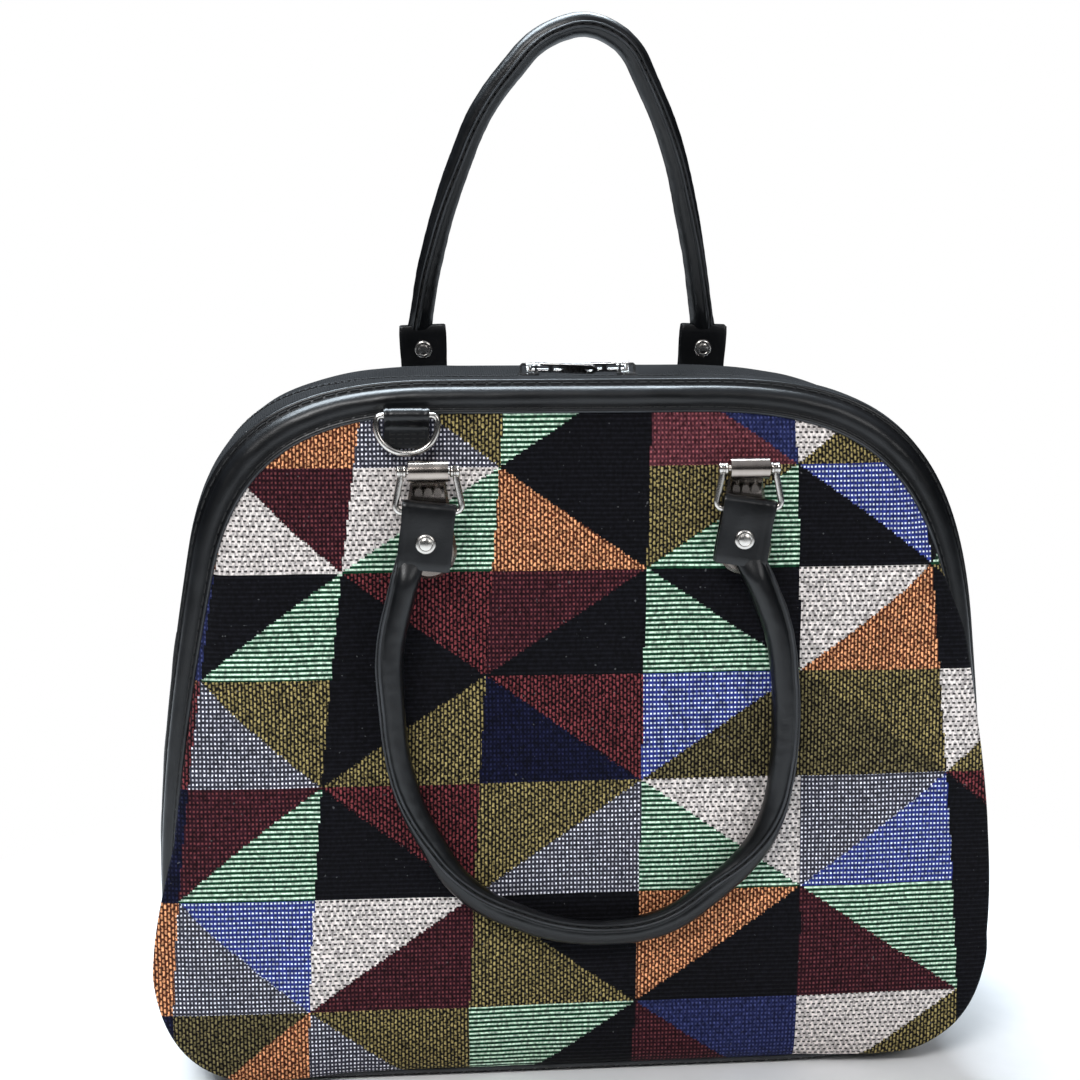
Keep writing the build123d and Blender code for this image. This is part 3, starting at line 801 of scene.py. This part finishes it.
def overhang(point, number):
    """How far the cloth swells out over the binding, low at both sides and up the right one."""
    band = math.exp(-(((number - swell_row) / (3.2 if number < swell_row else 7.0)) ** 2))
    low = clamped((swell_top["both sides"] - point.z) / 60)
    side = clamped((abs(point.x) - 105) / 45)
    right = clamped((swell_top["right side"] - point.z) / 50) if point.x > 0 else 0.0
    amount = band * side * max(low, 0.85 * right)
    down = 0.62 * clamped((85 - point.z) / 60)
    shift = Vector((math.copysign(swell_side, point.x), -swell_front, -swell_side * down)) * amount
    shift.z = max(shift.z, 1.2 - point.z)
    return shift


def make_cloth(row_name):
    """One tapestry panel, crowned and a little uneven, with small puckers beside the binding."""
    rows = [outline(*numbers) for numbers in smooth_rows(crown_rows(), 5)]
    rim = rows[-1]
    middle = sum(rim, Vector()) / len(rim)
    inner_steps = 16
    for step in range(1, inner_steps + 1):
        share = 1 - step / inner_steps
        rows.append([middle + (point - middle) * share for point in rim])
    anchors = [Vector((place, 0, 270)) for place in anchor_places.values()]
    seed = 3.7 if row_name == "front" else 41.3
    for number, row in enumerate(rows):
        near_edge = max(0.0, 1 - abs(number - 8) / 7)
        for index, point in enumerate(row):
            clear = min((Vector((point.x, 0, point.z)) - anchor).length for anchor in anchors)
            free = clamped((clear - 22) / 25)
            slow = noise.noise(Vector((point.x / 70, point.z / 55, seed)))
            pucker = noise.noise(Vector((index / 4.5, number / 9, seed + 9)))
            point.y += free * (0.7 * slow + 0.35 * near_edge * pucker)
            if row_name == "front":
                point += overhang(point, number)
    bm = new_skin(flipped(rows, row_name))
    area = sum(face.calc_area() for face in bm.faces) * mm * mm
    panel = row_name + "_panel"
    cloth = finish_piece(row_name + "_cloth", bm, tapestry, "bag", "tapestry", panel, sharp=80.0)


def make_binding(row_name):
    """The padded binding: a soft roll between two flat stitched margins."""
    roll_start = binding_margin + 0.2
    roll = binding_width - 2 * roll_start
    profile = [(0.0, -1.6), (-0.05, -0.7), (0.25, -0.1), (0.9, 0.05), (1.5, -0.12), (1.9, -0.38)]
    profile += [(2.3, -0.12), (2.8, 0.05), (3.25, 0.1)]
    for step in range(1, 10):
        share = step / 10
        profile.append((roll_start + share * roll, 2.35 * math.sin(math.pi * share) ** 0.7))
    profile += [(11.25, 0.1), (11.7, 0.05), (12.2, -0.12), (12.6, -0.38), (13.0, -0.12), (13.6, 0.05)]
    profile += [(14.25, -0.1), (14.55, -0.7), (14.5, -1.6)]
    rows = []
    seed = 5.1 if row_name == "front" else 17.9
    for across, rise in profile:
        raised = max(0.0, rise) / 2.4
        row = outline(*binding_row(across, rise))
        for index, point in enumerate(row):
            ripple = noise.noise(Vector((index / 2.6, across / 9, seed)))
            slow = noise.noise(Vector((index / 15, across / 20, seed + 3)))
            point.y += raised * (0.34 * ripple + 0.45 * slow)
        rows.append(row)
    rows.append(outline(*binding_row(binding_width / 2, -1.6)))
    columns = [[row[index] for row in rows] for index in range(len(rows[0]))]
    last = len(profile) - 3
    bm = new_skin(flipped(columns, row_name), loop=True, painted=(0, 1, last, last + 1))
    name = row_name + "_binding"
    binding = finish_piece(row_name + "_trim", bm, trim, "bag", "trim", name, sharp=75.0, edge=edge_paint)

    lines = [outline(*binding_row(across, -0.15)) for across in (1.9, 12.6)]
    sew(row_name + "_stitches", flipped([line + line[:1] for line in lines], row_name), 5.6, 4.3, 0.42)


def canvas_row(depth, margin, base_margin=None):
    """Numbers of the gusset's outline at a depth and a distance under the bag's outline."""
    level = 1 - abs(depth) / half_depth_top
    base = margin if base_margin is None else base_margin
    return (
        depth * half_depth_base / half_depth_top, depth, base_side_margin + margin, margin, margin,
        base - canvas_margin, level,
    )


def above_join(points):
    """The part of an outline above the seam of the lower gusset, from the left to the right."""
    inside = [index for index, point in enumerate(points) if point.z >= join_height]
    first, last = inside[0], inside[-1]
    kept = points[first:last + 1]
    kept.insert(0, at_height(points[first - 1], points[first]))
    kept.append(at_height(points[last], points[last + 1]))
    return kept


def below_join(points):
    """The rest of an outline, from the right over the base to the left."""
    inside = [index for index, point in enumerate(points) if point.z >= join_height]
    first, last = inside[0], inside[-1]
    kept = points[last + 1:] + points[:first]
    kept.insert(0, at_height(points[last], points[last + 1]))
    kept.append(at_height(points[first - 1], points[first]))
    return kept


def at_height(first, second):
    share = (join_height - first.z) / (second.z - first.z)
    return first.lerp(second, share)


def strip_line(depth, margin):
    """An evenly marked line over the top of the bag at a depth and a distance under its outline."""
    return spread(above_join(outline(*canvas_row(depth, margin))), outline_marks["strip"])


def make_gusset():
    """The canvas gusset: a lower part, and a strip on each side of the zip with a folded, stitched edge."""
    rows = []
    for step in range(25):
        share = step / 24
        depth = canvas_half_depth * (2 * share - 1)
        sag = canvas_sag * math.sin(math.pi * share)
        numbers = canvas_row(depth, canvas_margin + sag, canvas_margin)
        rows.append(spread(below_join(outline(*numbers)), outline_marks["gusset"]))
    for number, row in enumerate(rows):
        for index, point in enumerate(row):
            if point.z > 25:
                point.x += 0.8 * noise.noise(Vector((index / 9, number / 6, 2.2)))
    bm = new_skin(rows, closed=False)
    bmesh.ops.solidify(bm, geom=bm.faces[:], thickness=canvas_thickness)
    gusset = finish_piece("gusset_cloth", bm, canvas, "bag", "canvas", "lower_gusset", sharp=60.0)

    for row_name in ("front", "back"):
        profile = []
        for step in range(13):
            share = step / 12
            depth = -canvas_half_depth + (canvas_half_depth - strip_edge) * share
            crown = 1.2 * math.sin(math.pi * min(1.0, share * 1.15))
            dent = 0.35 * math.exp(-((depth + strip_seam) / 0.9) ** 2)
            profile.append((depth, canvas_margin - crown + dent))
        profile += [(-4.75, 0.35), (-4.7, 0.9), (-4.9, 1.4), (-9.0, 1.45)]
        rows = [strip_line(depth, margin) for depth, margin in profile]
        for number, row in enumerate(rows):
            for index, point in enumerate(row):
                point.z += 0.35 * noise.noise(Vector((index / 7, number / 4, 8.8)))
        bm = new_skin(flipped(rows, row_name), closed=False)
        name = "zip_strip_" + row_name
        strip = finish_piece(row_name + "_strip_cloth", bm, canvas, "bag", "canvas", name, sharp=70.0)
        line = above_join(outline(*canvas_row(-strip_seam, canvas_margin + 0.1)))
        sew(row_name + "_strip_stitches", flipped([line], row_name), 3.6, 2.8, 0.3, slot="canvas")


def make_zip_teeth():
    """The closed coil: a rib of small loops on a dark core."""
    core = [strip_line(depth, 0.9) for depth in (-3.3, -1.6, 0.0, 1.6, 3.3)]
    bm = new_skin(core, closed=False)
    finish_piece("zip_core", bm, zip_cloth, "bag", "zip_cloth")
    line = above_join(outline(*canvas_row(0.0, 0.35)))
    run = distances(line)
    bm = bmesh.new()
    count = int(run[-1] / 1.55)
    for number in range(count):
        middle, direction = point_at(line, run, (number + 0.5) * run[-1] / count)
        sideways = Vector((0, 1, 0)) + direction * (0.14 if number % 2 else -0.14)
        shift = Vector((0, 0.5 if number % 2 else -0.5, 0))
        add_rod(bm, middle + shift, sideways.normalized(), 5.2, 0.62)
    finish_piece("zip_loops", bm, teeth_plastic, "bag", "zip_teeth", "zip_coil_front", "zip_coil_back")


# Handles and fittings

def handle_frame(row_name):
    """A row's pin axis with its local directions: across, towards the pin and out of the handle's plane."""
    pin = joint_spots[row_name + "_rings_swing"]
    bar = joint_spots[row_name + "_handle_swing"]
    toward = (pin - bar).normalized()
    across = Vector((1, 0, 0))
    out = across.cross(toward)
    turn = Matrix((across, toward, out)).transposed().to_4x4()
    return Matrix.Translation((0, pin.y, pin.z)) @ turn


frames = {row_name: handle_frame(row_name) for row_name in ("front", "back")}


def rounded(points, radii, steps=10):
    """A line of points with each corner turned into an arc."""
    line = [points[0]]
    for before, corner, after, radius in zip(points, points[1:], points[2:], radii):
        back = (before - corner).normalized()
        ahead = (after - corner).normalized()
        half = back.angle(ahead) / 2
        reach = radius / math.tan(half)
        centre = corner + (back + ahead).normalized() * (radius / math.sin(half))
        start = corner + back * reach - centre
        end = corner + ahead * reach - centre
        turn = start.rotation_difference(end)
        axis, angle = turn.to_axis_angle()
        for step in range(steps + 1):
            line.append(centre + Matrix.Rotation(angle * step / steps, 3, axis) @ start)
    line.append(points[-1])
    return line


def bend_radii(points):
    radii = []
    for before, corner, after in zip(points, points[1:], points[2:]):
        turn = (corner - before).angle(after - corner)
        run = min((corner - before).length, (after - corner).length)
        radii.append(0.45 * run / math.tan(turn / 2))
    return radii


def evenly(points, pitch):
    """The same line with its points a pitch apart."""
    return spread(points, max(2, round(distances(points)[-1] / pitch)))


def wire_rows(line, radius, sides=16, flat=1.0, loop=False):
    """Rings of points round a flat line, for a wire. The line lies in the local plane Z = 0."""
    rows = []
    count = len(line)
    for index, point in enumerate(line):
        before = line[index - 1] if index or loop else point
        after = line[(index + 1) % count] if index + 1 < count or loop else point
        ahead = (after - before).normalized()
        side = ahead.cross(Vector((0, 0, 1)))
        ring = []
        for step in range(sides):
            angle = 2 * math.pi * step / sides
            out = Vector((0, 0, radius * flat * math.sin(angle)))
            ring.append(point + side * (radius * math.cos(angle)) + out)
        rows.append(ring)
    return rows


def turned_rows(profile, sides=40):
    """Rings of points about local Z, for a turned piece."""
    rows = []
    for radius, height in profile:
        ring = []
        for step in range(sides):
            angle = 2 * math.pi * step / sides
            ring.append(Vector((radius * math.cos(angle), radius * math.sin(angle), height)))
        rows.append(ring)
    return rows


def moved(rows, place):
    return [[place @ point for point in row] for row in rows]


def make_ring(row_name, side):
    """A ring of bent wire with ribbed knobs at its two ends."""
    corners = [
        Vector((-knob_centre, 0, 0)), Vector((-ring_half_width, -ring_drop, 0)),
        Vector((ring_half_width, -ring_drop, 0)), Vector((knob_centre, 0, 0)),
    ]
    line = rounded(corners, [ring_corner, ring_corner], 12)
    place = frames[row_name] @ Matrix.Translation((anchor_places[side], 0, 0))
    bm = bmesh.new()
    add_skin(bm, moved(wire_rows(evenly(line, 1.2), ring_wire, flat=0.96), place), capped=True)
    half = knob_width / 2
    profile = [(0.0, -half - 0.1), (1.9, -half - 0.1), (2.4, -half + 0.15), (2.65, -half + 0.6)]
    for step in range(7):
        height = -half + 0.9 + step * (knob_width - 1.8) / 6
        profile.append((knob_radius - (0.28 if step % 2 else 0.0), height))
    profile += [(2.65, half - 0.6), (2.4, half - 0.15), (1.9, half + 0.1), (0.0, half + 0.1)]
    for end in (-1, 1):
        spot = place @ Matrix.Translation((end * knob_centre, 0, 0)) @ Matrix.Rotation(math.pi / 2, 4, "Y")
        add_skin(bm, moved(turned_rows(profile, 28), spot))
    bmesh.ops.recalc_face_normals(bm, faces=bm.faces)
    name = row_name + "_" + side
    finish_piece(name + "_loop", bm, bright_nickel, row_name + "_rings", "bright_nickel", name + "_ring")


def tab_frame(row_name, side):
    tilt = math.radians(tab_tilts[row_name][side])
    spot = Matrix.Translation((anchor_places[side], -ring_drop, 0))
    return frames[row_name] @ spot @ Matrix.Rotation(tilt, 4, "Z")


def tab_section(half_width, thick, groove):
    """Points across one layer of a tab: its face with a groove, its edges and its back."""
    face = []
    steps = 26
    for step in range(steps + 1):
        across = -half_width + 2 * half_width * step / steps
        edge = max(0.0, abs(across) - half_width + 0.7) / 0.7
        dip = 0.0
        if groove:
            beside = across - groove
            dip = 0.42 * math.exp(-(beside / 0.55) ** 2) - 0.22 * math.exp(-(beside / 1.9) ** 2)
        face.append((across, thick / 2 - 0.35 * edge ** 2 - dip))
    back = [(half_width, -thick / 2 + 0.1), (0.0, -thick / 2), (-half_width, -thick / 2 + 0.1)]
    return face + back


def make_tab(row_name, side):
    """A leather flap folded over the ring's bar, pulled in round its rivet."""
    reach = ring_wire + 0.35 + flap_leather / 2
    centre = flap_width / 2 * math.tan(math.radians(abs(tab_tilts[row_name][side])))
    spine = [(-flap_length, 1.75), (-flap_length + 0.5, 1.78), (-22.0, 1.9), (-17.0, 2.0), (-13.0, 2.0)]
    spine += [(-9.0, 2.15), (-5.0, 2.35), (-2.0, reach)]
    path = [Vector((0, y, z)) for y, z in spine]
    for step in range(13):
        angle = math.pi * step / 12
        path.append(Vector((0, centre + reach * math.sin(angle), reach * math.cos(angle))))
    path += [Vector((0, y, -z)) for y, z in reversed(spine)]
    groove = 0.0
    if row_name == "front":
        groove = -8.6 if side == "left" else 8.6
    seed = 1.3 if side == "left" else 6.4
    rows = []
    for index, point in enumerate(path):
        before = path[max(index - 1, 0)]
        after = path[min(index + 1, len(path) - 1)]
        ahead = (after - before).normalized()
        out = Vector((1, 0, 0)).cross(ahead)
        if index < 10:
            out = Vector((0, -ahead.z, ahead.y))
        end = min(index, len(path) - 1 - index)
        narrow = 0.9 if end == 0 else 0.25 if end == 1 else 0.0
        thin = 0.6 if end == 0 else 1.0
        waist = 0.35 * math.exp(-((point.y + 6) / 6) ** 2)
        ring = []
        for across, depth in tab_section(flap_width / 2 - narrow - waist, flap_leather * thin, groove):
            near = math.exp(-((across / 4.8) ** 2 + ((point.y + rivet_drop) / 4.8) ** 2))
            wrinkle = 0.16 * noise.noise(Vector((across / 5, point.y / 4, seed + (0 if point.z > 0 else 7))))
            lift = depth - 0.55 * near + wrinkle
            ring.append(point + Vector((across, 0, 0)) + out * lift)
        rows.append(ring)
    bm = bmesh.new()
    add_skin(bm, moved(rows, tab_frame(row_name, side)), capped=True)
    bmesh.ops.recalc_face_normals(bm, faces=bm.faces)
    finish_piece(row_name + "_" + side + "_tab", bm, trim, row_name + "_handle", "trim", sharp=40.0)


def make_rivets(row_name):
    """The domed rivets, with a ring round the middle of each head."""
    profile = [
        (4.45, -0.9), (rivet_radius, -0.5), (rivet_radius, 0.0), (4.45, 0.45), (4.0, 0.8), (3.4, 0.98),
        (3.0, 0.98), (2.75, 0.78), (2.5, 0.86), (2.0, 1.12), (1.2, 1.28), (0.5, 1.33), (0.0, 1.34),
    ]
    height = ring_wire + flap_leather + 0.05
    bm = bmesh.new()
    for side in anchor_places:
        place = tab_frame(row_name, side) @ Matrix.Translation((0, -rivet_drop, 0))
        for turn in (0.0, math.pi):
            spot = place @ Matrix.Rotation(turn, 4, "X") @ Matrix.Translation((0, 0, height - 0.35))
            add_skin(bm, moved(turned_rows(profile), spot))
    bmesh.ops.recalc_face_normals(bm, faces=bm.faces)
    body = row_name + "_handle"
    finish_piece(row_name + "_rivets", bm, bright_nickel, body, "bright_nickel", body + "_rivets", sharp=35.0)


def tube_section():
    """Angles round the tube from its seam fin, with how far the leather stands off the round."""
    fin = [(-24, -0.12), (-18, -0.2), (-14.5, 0.1), (-13, 1.0)]
    fin += [(-11, 1.5), (-7, 1.62), (-4, 1.35), (-2.4, 0.7)]
    fin += [(0, 0.5)] + [(-angle, rise) for angle, rise in reversed(fin)]
    rest = [(angle, 0.0) for angle in range(34, 330, 11)]
    return fin + rest


def make_tube(row_name):
    """A rolled handle tube with its raised seam, flattened where it runs into the tabs."""
    pin = joint_spots[row_name + "_rings_swing"]
    bar = joint_spots[row_name + "_handle_swing"]
    lean = abs((pin - bar).z) / (pin - bar).length
    corners = [Vector((across, -reach / lean, 0)) for across, reach in tube_points[row_name]]
    line = rounded(corners, bend_radii(corners), 14)
    first = (line[0] - line[1]).normalized()
    last = (line[-1] - line[-2]).normalized()
    line = [line[0] + first * tube_taper] + line + [line[-1] + last * tube_taper]
    line = evenly(line, 1.7)
    run = distances(line)
    section = tube_section()
    seed = 2.0 if row_name == "front" else 12.0
    rows = []
    seam = []
    for index, point in enumerate(line):
        ahead = (line[min(index + 1, len(line) - 1)] - line[max(index - 1, 0)]).normalized()
        side = ahead.cross(Vector((0, 0, 1)))
        share = run[index] / run[-1]
        end = min(run[index], run[-1] - run[index])
        press = 1 - min(1.0, end / tube_taper)
        press = press * press * (3 - 2 * press)
        fin = math.radians(eased(fin_turns[row_name], share))
        ring = []
        for turn, rise in section:
            angle = fin + math.radians(turn)
            right, front = math.cos(angle), math.sin(angle)
            crease = noise.noise(Vector((run[index] / 3.1, right * 1.4, front * 1.4 + seed)))
            slow = noise.noise(Vector((run[index] / 26, right, front + seed)))
            radius = tube_radius + rise * (1 - press) + 0.16 * crease + 0.32 * slow
            wide = radius * (1 + 0.12 * press)
            deep = radius * (1 - 0.80 * press)
            ring.append(point + side * (wide * right) + Vector((0, 0, deep * front)))
        rows.append(ring)
        if press < 0.5:
            reach = tube_radius + 0.62
            seam.append(point + side * (reach * math.cos(fin)) + Vector((0, 0, reach * math.sin(fin))))
    bm = bmesh.new()
    add_skin(bm, moved(rows, frames[row_name]), capped=True, painted=(4, 5, 11, 12))
    bmesh.ops.recalc_face_normals(bm, faces=bm.faces)
    body = row_name + "_handle"
    finish_piece(row_name + "_tube", bm, trim, body, "trim", body, sharp=60.0, edge=edge_paint)
    sew(row_name + "_tube_stitches", moved([seam], frames[row_name]), 5.0, 3.9, 0.36, body)


def keeper_frame():
    """The strap ring's bar, with local directions: across, up the panel and out of it."""
    lean = math.radians(keeper_slope)
    out = Vector((0, -math.cos(lean), math.sin(lean)))
    across = Vector((1, 0, 0))
    up = out.cross(across)
    turn = Matrix((across, up, out)).transposed().to_4x4()
    return Matrix.Translation(joint_spots["strap_ring_swing"]) @ turn


def make_keeper():
    """The doubled strap whose fold holds the strap ring, sewn down at its sides and its end."""
    reach = strap_ring_wire + 0.45 + keeper_leather / 2
    seat = -keeper_lift
    low = seat + keeper_leather / 2 + 0.05
    high = low + keeper_leather + 0.15
    path = [Vector((0, -keeper_length, high - 0.2))]
    path += [Vector((0, y, high)) for y in (-13.8, -12.0, -10.0, -8.0, -6.5)]
    path += [Vector((0, -5.4, high + 0.25)), Vector((0, -4.2, high + 1.0)), Vector((0, -3.3, high + 2.2))]
    for step in range(15):
        angle = math.radians(160 - 250 * step / 14)
        path.append(Vector((0, reach * math.cos(angle), reach * math.sin(angle))))
    path += [Vector((0, -4.0, low + 0.1))]
    path += [Vector((0, y, low)) for y in (-8.0, -13.6, -14.2)]
    rows = []
    for index, point in enumerate(path):
        before = path[max(index - 1, 0)]
        after = path[min(index + 1, len(path) - 1)]
        ahead = (after - before).normalized()
        out = Vector((0, -ahead.z, ahead.y))
        ring = []
        for step in range(29):
            across = -keeper_width / 2 + keeper_width * step / 28
            edge = max(0.0, abs(across) - keeper_width / 2 + 0.7) / 0.7
            dip = 0.3 * math.exp(-((abs(across) - 7.6) / 0.5) ** 2)
            wrinkle = 0.1 * noise.noise(Vector((across / 4, point.y / 3, 4.4)))
            lift = keeper_leather / 2 - 0.3 * edge ** 2 - dip + wrinkle
            ring.append(point + Vector((across, 0, 0)) + out * lift)
        for across in (keeper_width / 2, 0.0, -keeper_width / 2):
            ring.append(point + Vector((across, 0, 0)) - out * keeper_leather / 2)
        rows.append(ring)
    place = keeper_frame()
    bm = bmesh.new()
    add_skin(bm, moved(rows, place), capped=True)
    bmesh.ops.recalc_face_normals(bm, faces=bm.faces)
    finish_piece("strap_fold", bm, trim, "bag", "trim", "strap_keeper", sharp=45.0)

    face = high + keeper_leather / 2
    lines = [[Vector((x, height, face)) for x in range(-8, 9, 4)] for height in (-8.2, -10.2, -12.2)]
    lines += [[Vector((x, -y, face - 0.15)) for y in range(6, 14)] for x in (-7.6, 7.6)]
    sew("strap_fold_stitches", moved(lines, place), 2.7, 2.2, 0.3)


def make_strap_ring():
    """The D-shaped ring of bent wire."""
    half = strap_ring_half_width
    corners = [Vector((0, 0, 0)), Vector((half, 0, 0)), Vector((half, -strap_ring_depth, 0))]
    corners += [Vector((-half, -strap_ring_depth, 0)), Vector((-half, 0, 0)), Vector((0, 0, 0))]
    bends = [strap_ring_corner, strap_ring_bend, strap_ring_bend, strap_ring_corner]
    line = evenly(rounded(corners, bends, 14), 1.2)[:-1]
    bm = bmesh.new()
    add_skin(bm, moved(wire_rows(line, strap_ring_wire, loop=True), keeper_frame()), loop=True)
    bmesh.ops.recalc_face_normals(bm, faces=bm.faces)
    finish_piece("strap_loop", bm, bright_nickel, "strap_ring", "bright_nickel", "strap_ring")


def pull_outline(length, half, inset, sides=14):
    """A flat loop: straight at its start and round at its end."""
    points = [(inset, -half)]
    for step in range(sides + 1):
        angle = -math.pi / 2 + math.pi * step / sides
        points.append((length - half + half * math.cos(angle), half * math.sin(angle)))
    points.append((inset, half))
    return points


def window(start, end, half):
    """An opening in a pull with cut corners."""
    corner = 0.6
    return [
        (start + corner, -half), (end - corner, -half), (end, corner - half), (end, half - corner),
        (end - corner, half), (start + corner, half), (start, half - corner), (start, corner - half),
    ]


def make_pull(side):
    """A flat zip pull with its three windows, twisted a little towards the front."""
    node = "zip_pull_" + side
    joint = next(item for item in frame["joints"] if item["name"] == "pull_" + side + "_swing")
    pivot = Vector(joint["pos_m"]) / mm
    upward = Vector((0, 0, 1))
    along = Vector(joint["axis"]).cross(upward).normalized()
    low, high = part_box(node)
    middle = (low + high) / 2 / mm
    if (middle - pivot).dot(along) < 0:
        along = -along
    drawn = bpy.data.curves.new(node, "CURVE")
    drawn.dimensions = "2D"
    drawn.fill_mode = "BOTH"
    drawn.extrude = pull_half_thickness
    drawn.bevel_depth = pull_bevel
    drawn.bevel_resolution = 1
    loops = [pull_outline(pull_length, pull_half_width, -0.6)]
    loops += [window(0.9, 10.0, 2.1), window(11.6, 16.4, 1.9)]
    eye_middle, eye_length, eye_width = pull_eye
    turns = [number * 0.45 for number in range(14)]
    loops.append([(eye_middle + eye_length * math.cos(a), eye_width * math.sin(a)) for a in turns])
    for loop in loops:
        spline = drawn.splines.new("POLY")
        spline.points.add(len(loop) - 1)
        spline.use_cyclic_u = True
        for point, (across, up) in zip(spline.points, loop):
            point.co = (across, up, 0.0, 1.0)
    holder = bpy.data.objects.new(node, drawn)
    bpy.context.scene.collection.objects.link(holder)
    bpy.context.view_layer.update()
    flat = bpy.data.meshes.new_from_object(holder.evaluated_get(bpy.context.evaluated_depsgraph_get()))
    bpy.data.objects.remove(holder)
    bm = bmesh.new()
    bm.from_mesh(flat)
    bmesh.ops.remove_doubles(bm, verts=bm.verts, dist=1e-3)
    turn = Matrix((along, upward.cross(along).normalized(), upward)).transposed().to_4x4()
    way = math.copysign(1.0, along.x)
    twist = Matrix.Rotation(math.radians(-pull_twist * way), 4, along)
    slope = Matrix.Rotation(math.radians(pull_fall * way), 4, Vector((0, 1, 0)))
    place = Matrix.Translation(pivot + upward * pull_lift) @ slope @ twist @ turn
    bmesh.ops.transform(bm, matrix=place, verts=bm.verts)
    finish_piece(side + "_pull", bm, gunmetal, node, "gunmetal", node, sharp=35.0)


for row in ("front", "back"):
    make_cloth(row)
    make_binding(row)
    make_tube(row)
    make_rivets(row)
    for side in anchor_places:
        make_tab(row, side)
        make_ring(row, side)
make_gusset()
make_zip_teeth()
make_keeper()
make_strap_ring()
for side in ("left", "right"):
    make_pull(side)

# The rigid solids that stay take a finished material each
finishes = {
    "zip_tape_front": zip_cloth, "zip_tape_back": zip_cloth, "base_board": board_plastic,
    "lining": lining_cloth, "anchor_washers": bright_nickel,
}
for name, node in frame["nodes"].items():
    chosen = finishes.get(name)
    if name.endswith("_anchor"):
        chosen = dark_nickel
    elif name.endswith("_pin"):
        chosen = bright_nickel
    elif name.startswith("zip_slider") or name.startswith("zip_pull"):
        chosen = gunmetal
    if chosen is None:
        chosen = trim
    if not node.data.materials:
        node.data.materials.append(chosen)
    for holder in node.material_slots:
        holder.material = chosen


# Floor, light and camera

def make_floor():
    """A plain pale floor that fades to white away from the bag."""
    material, net, shader = new_material("floor", Roughness=0.9)
    spot = net.place()
    across, depth, _ = net.split(spot)
    squares = net.math("MULTIPLY_ADD", across, across, net.math("MULTIPLY", depth, depth))
    reach = net.math("SQRT", squares)
    far = net.span(reach, 0.22, 0.42)
    grain_shade = net.ramp(net.noise(spot, 90.0), [(0.0, (0.88, 0.88, 0.88)), (1.0, (0.93, 0.93, 0.93))])
    net.feed(shader["Base Color"], grain_shade)
    shader["Emission Color"].default_value = (1.0, 1.0, 1.0, 1.0)
    rays = net.node("ShaderNodeLightPath").outputs["Is Camera Ray"]
    white = net.node("ShaderNodeEmission")
    blend = net.node("ShaderNodeMixShader")
    output = material.node_tree.nodes["Material Output"]
    net.feed(blend.inputs[0], net.math("MULTIPLY", rays, far))
    net.feed(blend.inputs[1], material.node_tree.nodes["Principled BSDF"].outputs[0])
    net.feed(blend.inputs[2], white.outputs[0])
    net.feed(output.inputs["Surface"], blend.outputs[0])
    bm = bmesh.new()
    bmesh.ops.create_grid(bm, x_segments=8, y_segments=8, size=3.0)
    mesh = bpy.data.meshes.new("floor")
    bm.to_mesh(mesh)
    bm.free()
    mesh.materials.append(material)
    floor = bpy.data.objects.new("floor", mesh)
    bpy.context.scene.collection.objects.link(floor)


def make_world():
    """A pale studio round the bag, brighter overhead, and white where the camera sees past it."""
    world = bpy.data.worlds.new("studio")
    bpy.context.scene.world = world
    world.use_nodes = True
    net = Net(world.node_tree)
    background = world.node_tree.nodes["Background"]
    height = net.split(net.place("Generated"))[2]
    tones = [(0.0, (0.010, 0.010, 0.012)), (0.62, (0.030, 0.032, 0.037))]
    tones += [(0.85, (0.17, 0.18, 0.20)), (1.0, (0.55, 0.58, 0.63))]
    sky = net.ramp(net.span(height, -0.6, 1.0), tones)
    rays = net.node("ShaderNodeLightPath").outputs["Is Camera Ray"]
    net.feed(background.inputs["Color"], net.blend(rays, sky, (1.0, 1.0, 1.0, 1.0)))
    background.inputs["Strength"].default_value = 1.0


def add_light(name, spot, target, size, power, colour=(1.0, 1.0, 1.0)):
    lamp = bpy.data.lights.new(name, "AREA")
    lamp.shape = "RECTANGLE"
    lamp.size = size[0]
    lamp.size_y = size[1]
    lamp.energy = power
    lamp.color = colour
    holder = bpy.data.objects.new(name, lamp)
    bpy.context.scene.collection.objects.link(holder)
    holder.location = spot
    aim = Vector(target) - Vector(spot)
    holder.rotation_euler = aim.to_track_quat("-Z", "Y").to_euler()


# The camera looks a little from the left and from above
view_turn = 4.5
view_fall = 10.0
view_lens = 53.9
view_place = (-0.07479, -0.77360, 0.38381)


def make_camera():
    """The photograph's view, for a square picture."""
    turn, fall = math.radians(view_turn), math.radians(view_fall)
    ahead = Vector((math.sin(turn) * math.cos(fall), math.cos(turn) * math.cos(fall), -math.sin(fall)))
    across = Vector((math.cos(turn), -math.sin(turn), 0))
    up = across.cross(ahead)
    lens = bpy.data.cameras.new("camera")
    lens.sensor_fit = "AUTO"
    lens.sensor_width = 36.0
    lens.lens = view_lens
    lens.clip_start = 0.01
    holder = bpy.data.objects.new("camera", lens)
    bpy.context.scene.collection.objects.link(holder)
    facing = Matrix((across, up, -ahead)).transposed().to_4x4()
    holder.matrix_world = Matrix.Translation(view_place) @ facing
    bpy.context.scene.camera = holder


make_floor()
make_world()
add_light("key", (-0.55, -1.15, 1.35), (0.0, 0.0, 0.16), (0.7, 0.4), 15.0)
add_light("fill", (0.85, -1.15, 1.0), (0.0, 0.0, 0.15), (0.5, 0.5), 4.0)
add_light("top", (-0.15, 0.35, 1.25), (0.0, -0.02, 0.27), (1.2, 0.35), 34.0, (0.80, 0.91, 1.0))
make_camera()
bpy.context.scene.view_settings.view_transform = "Standard"
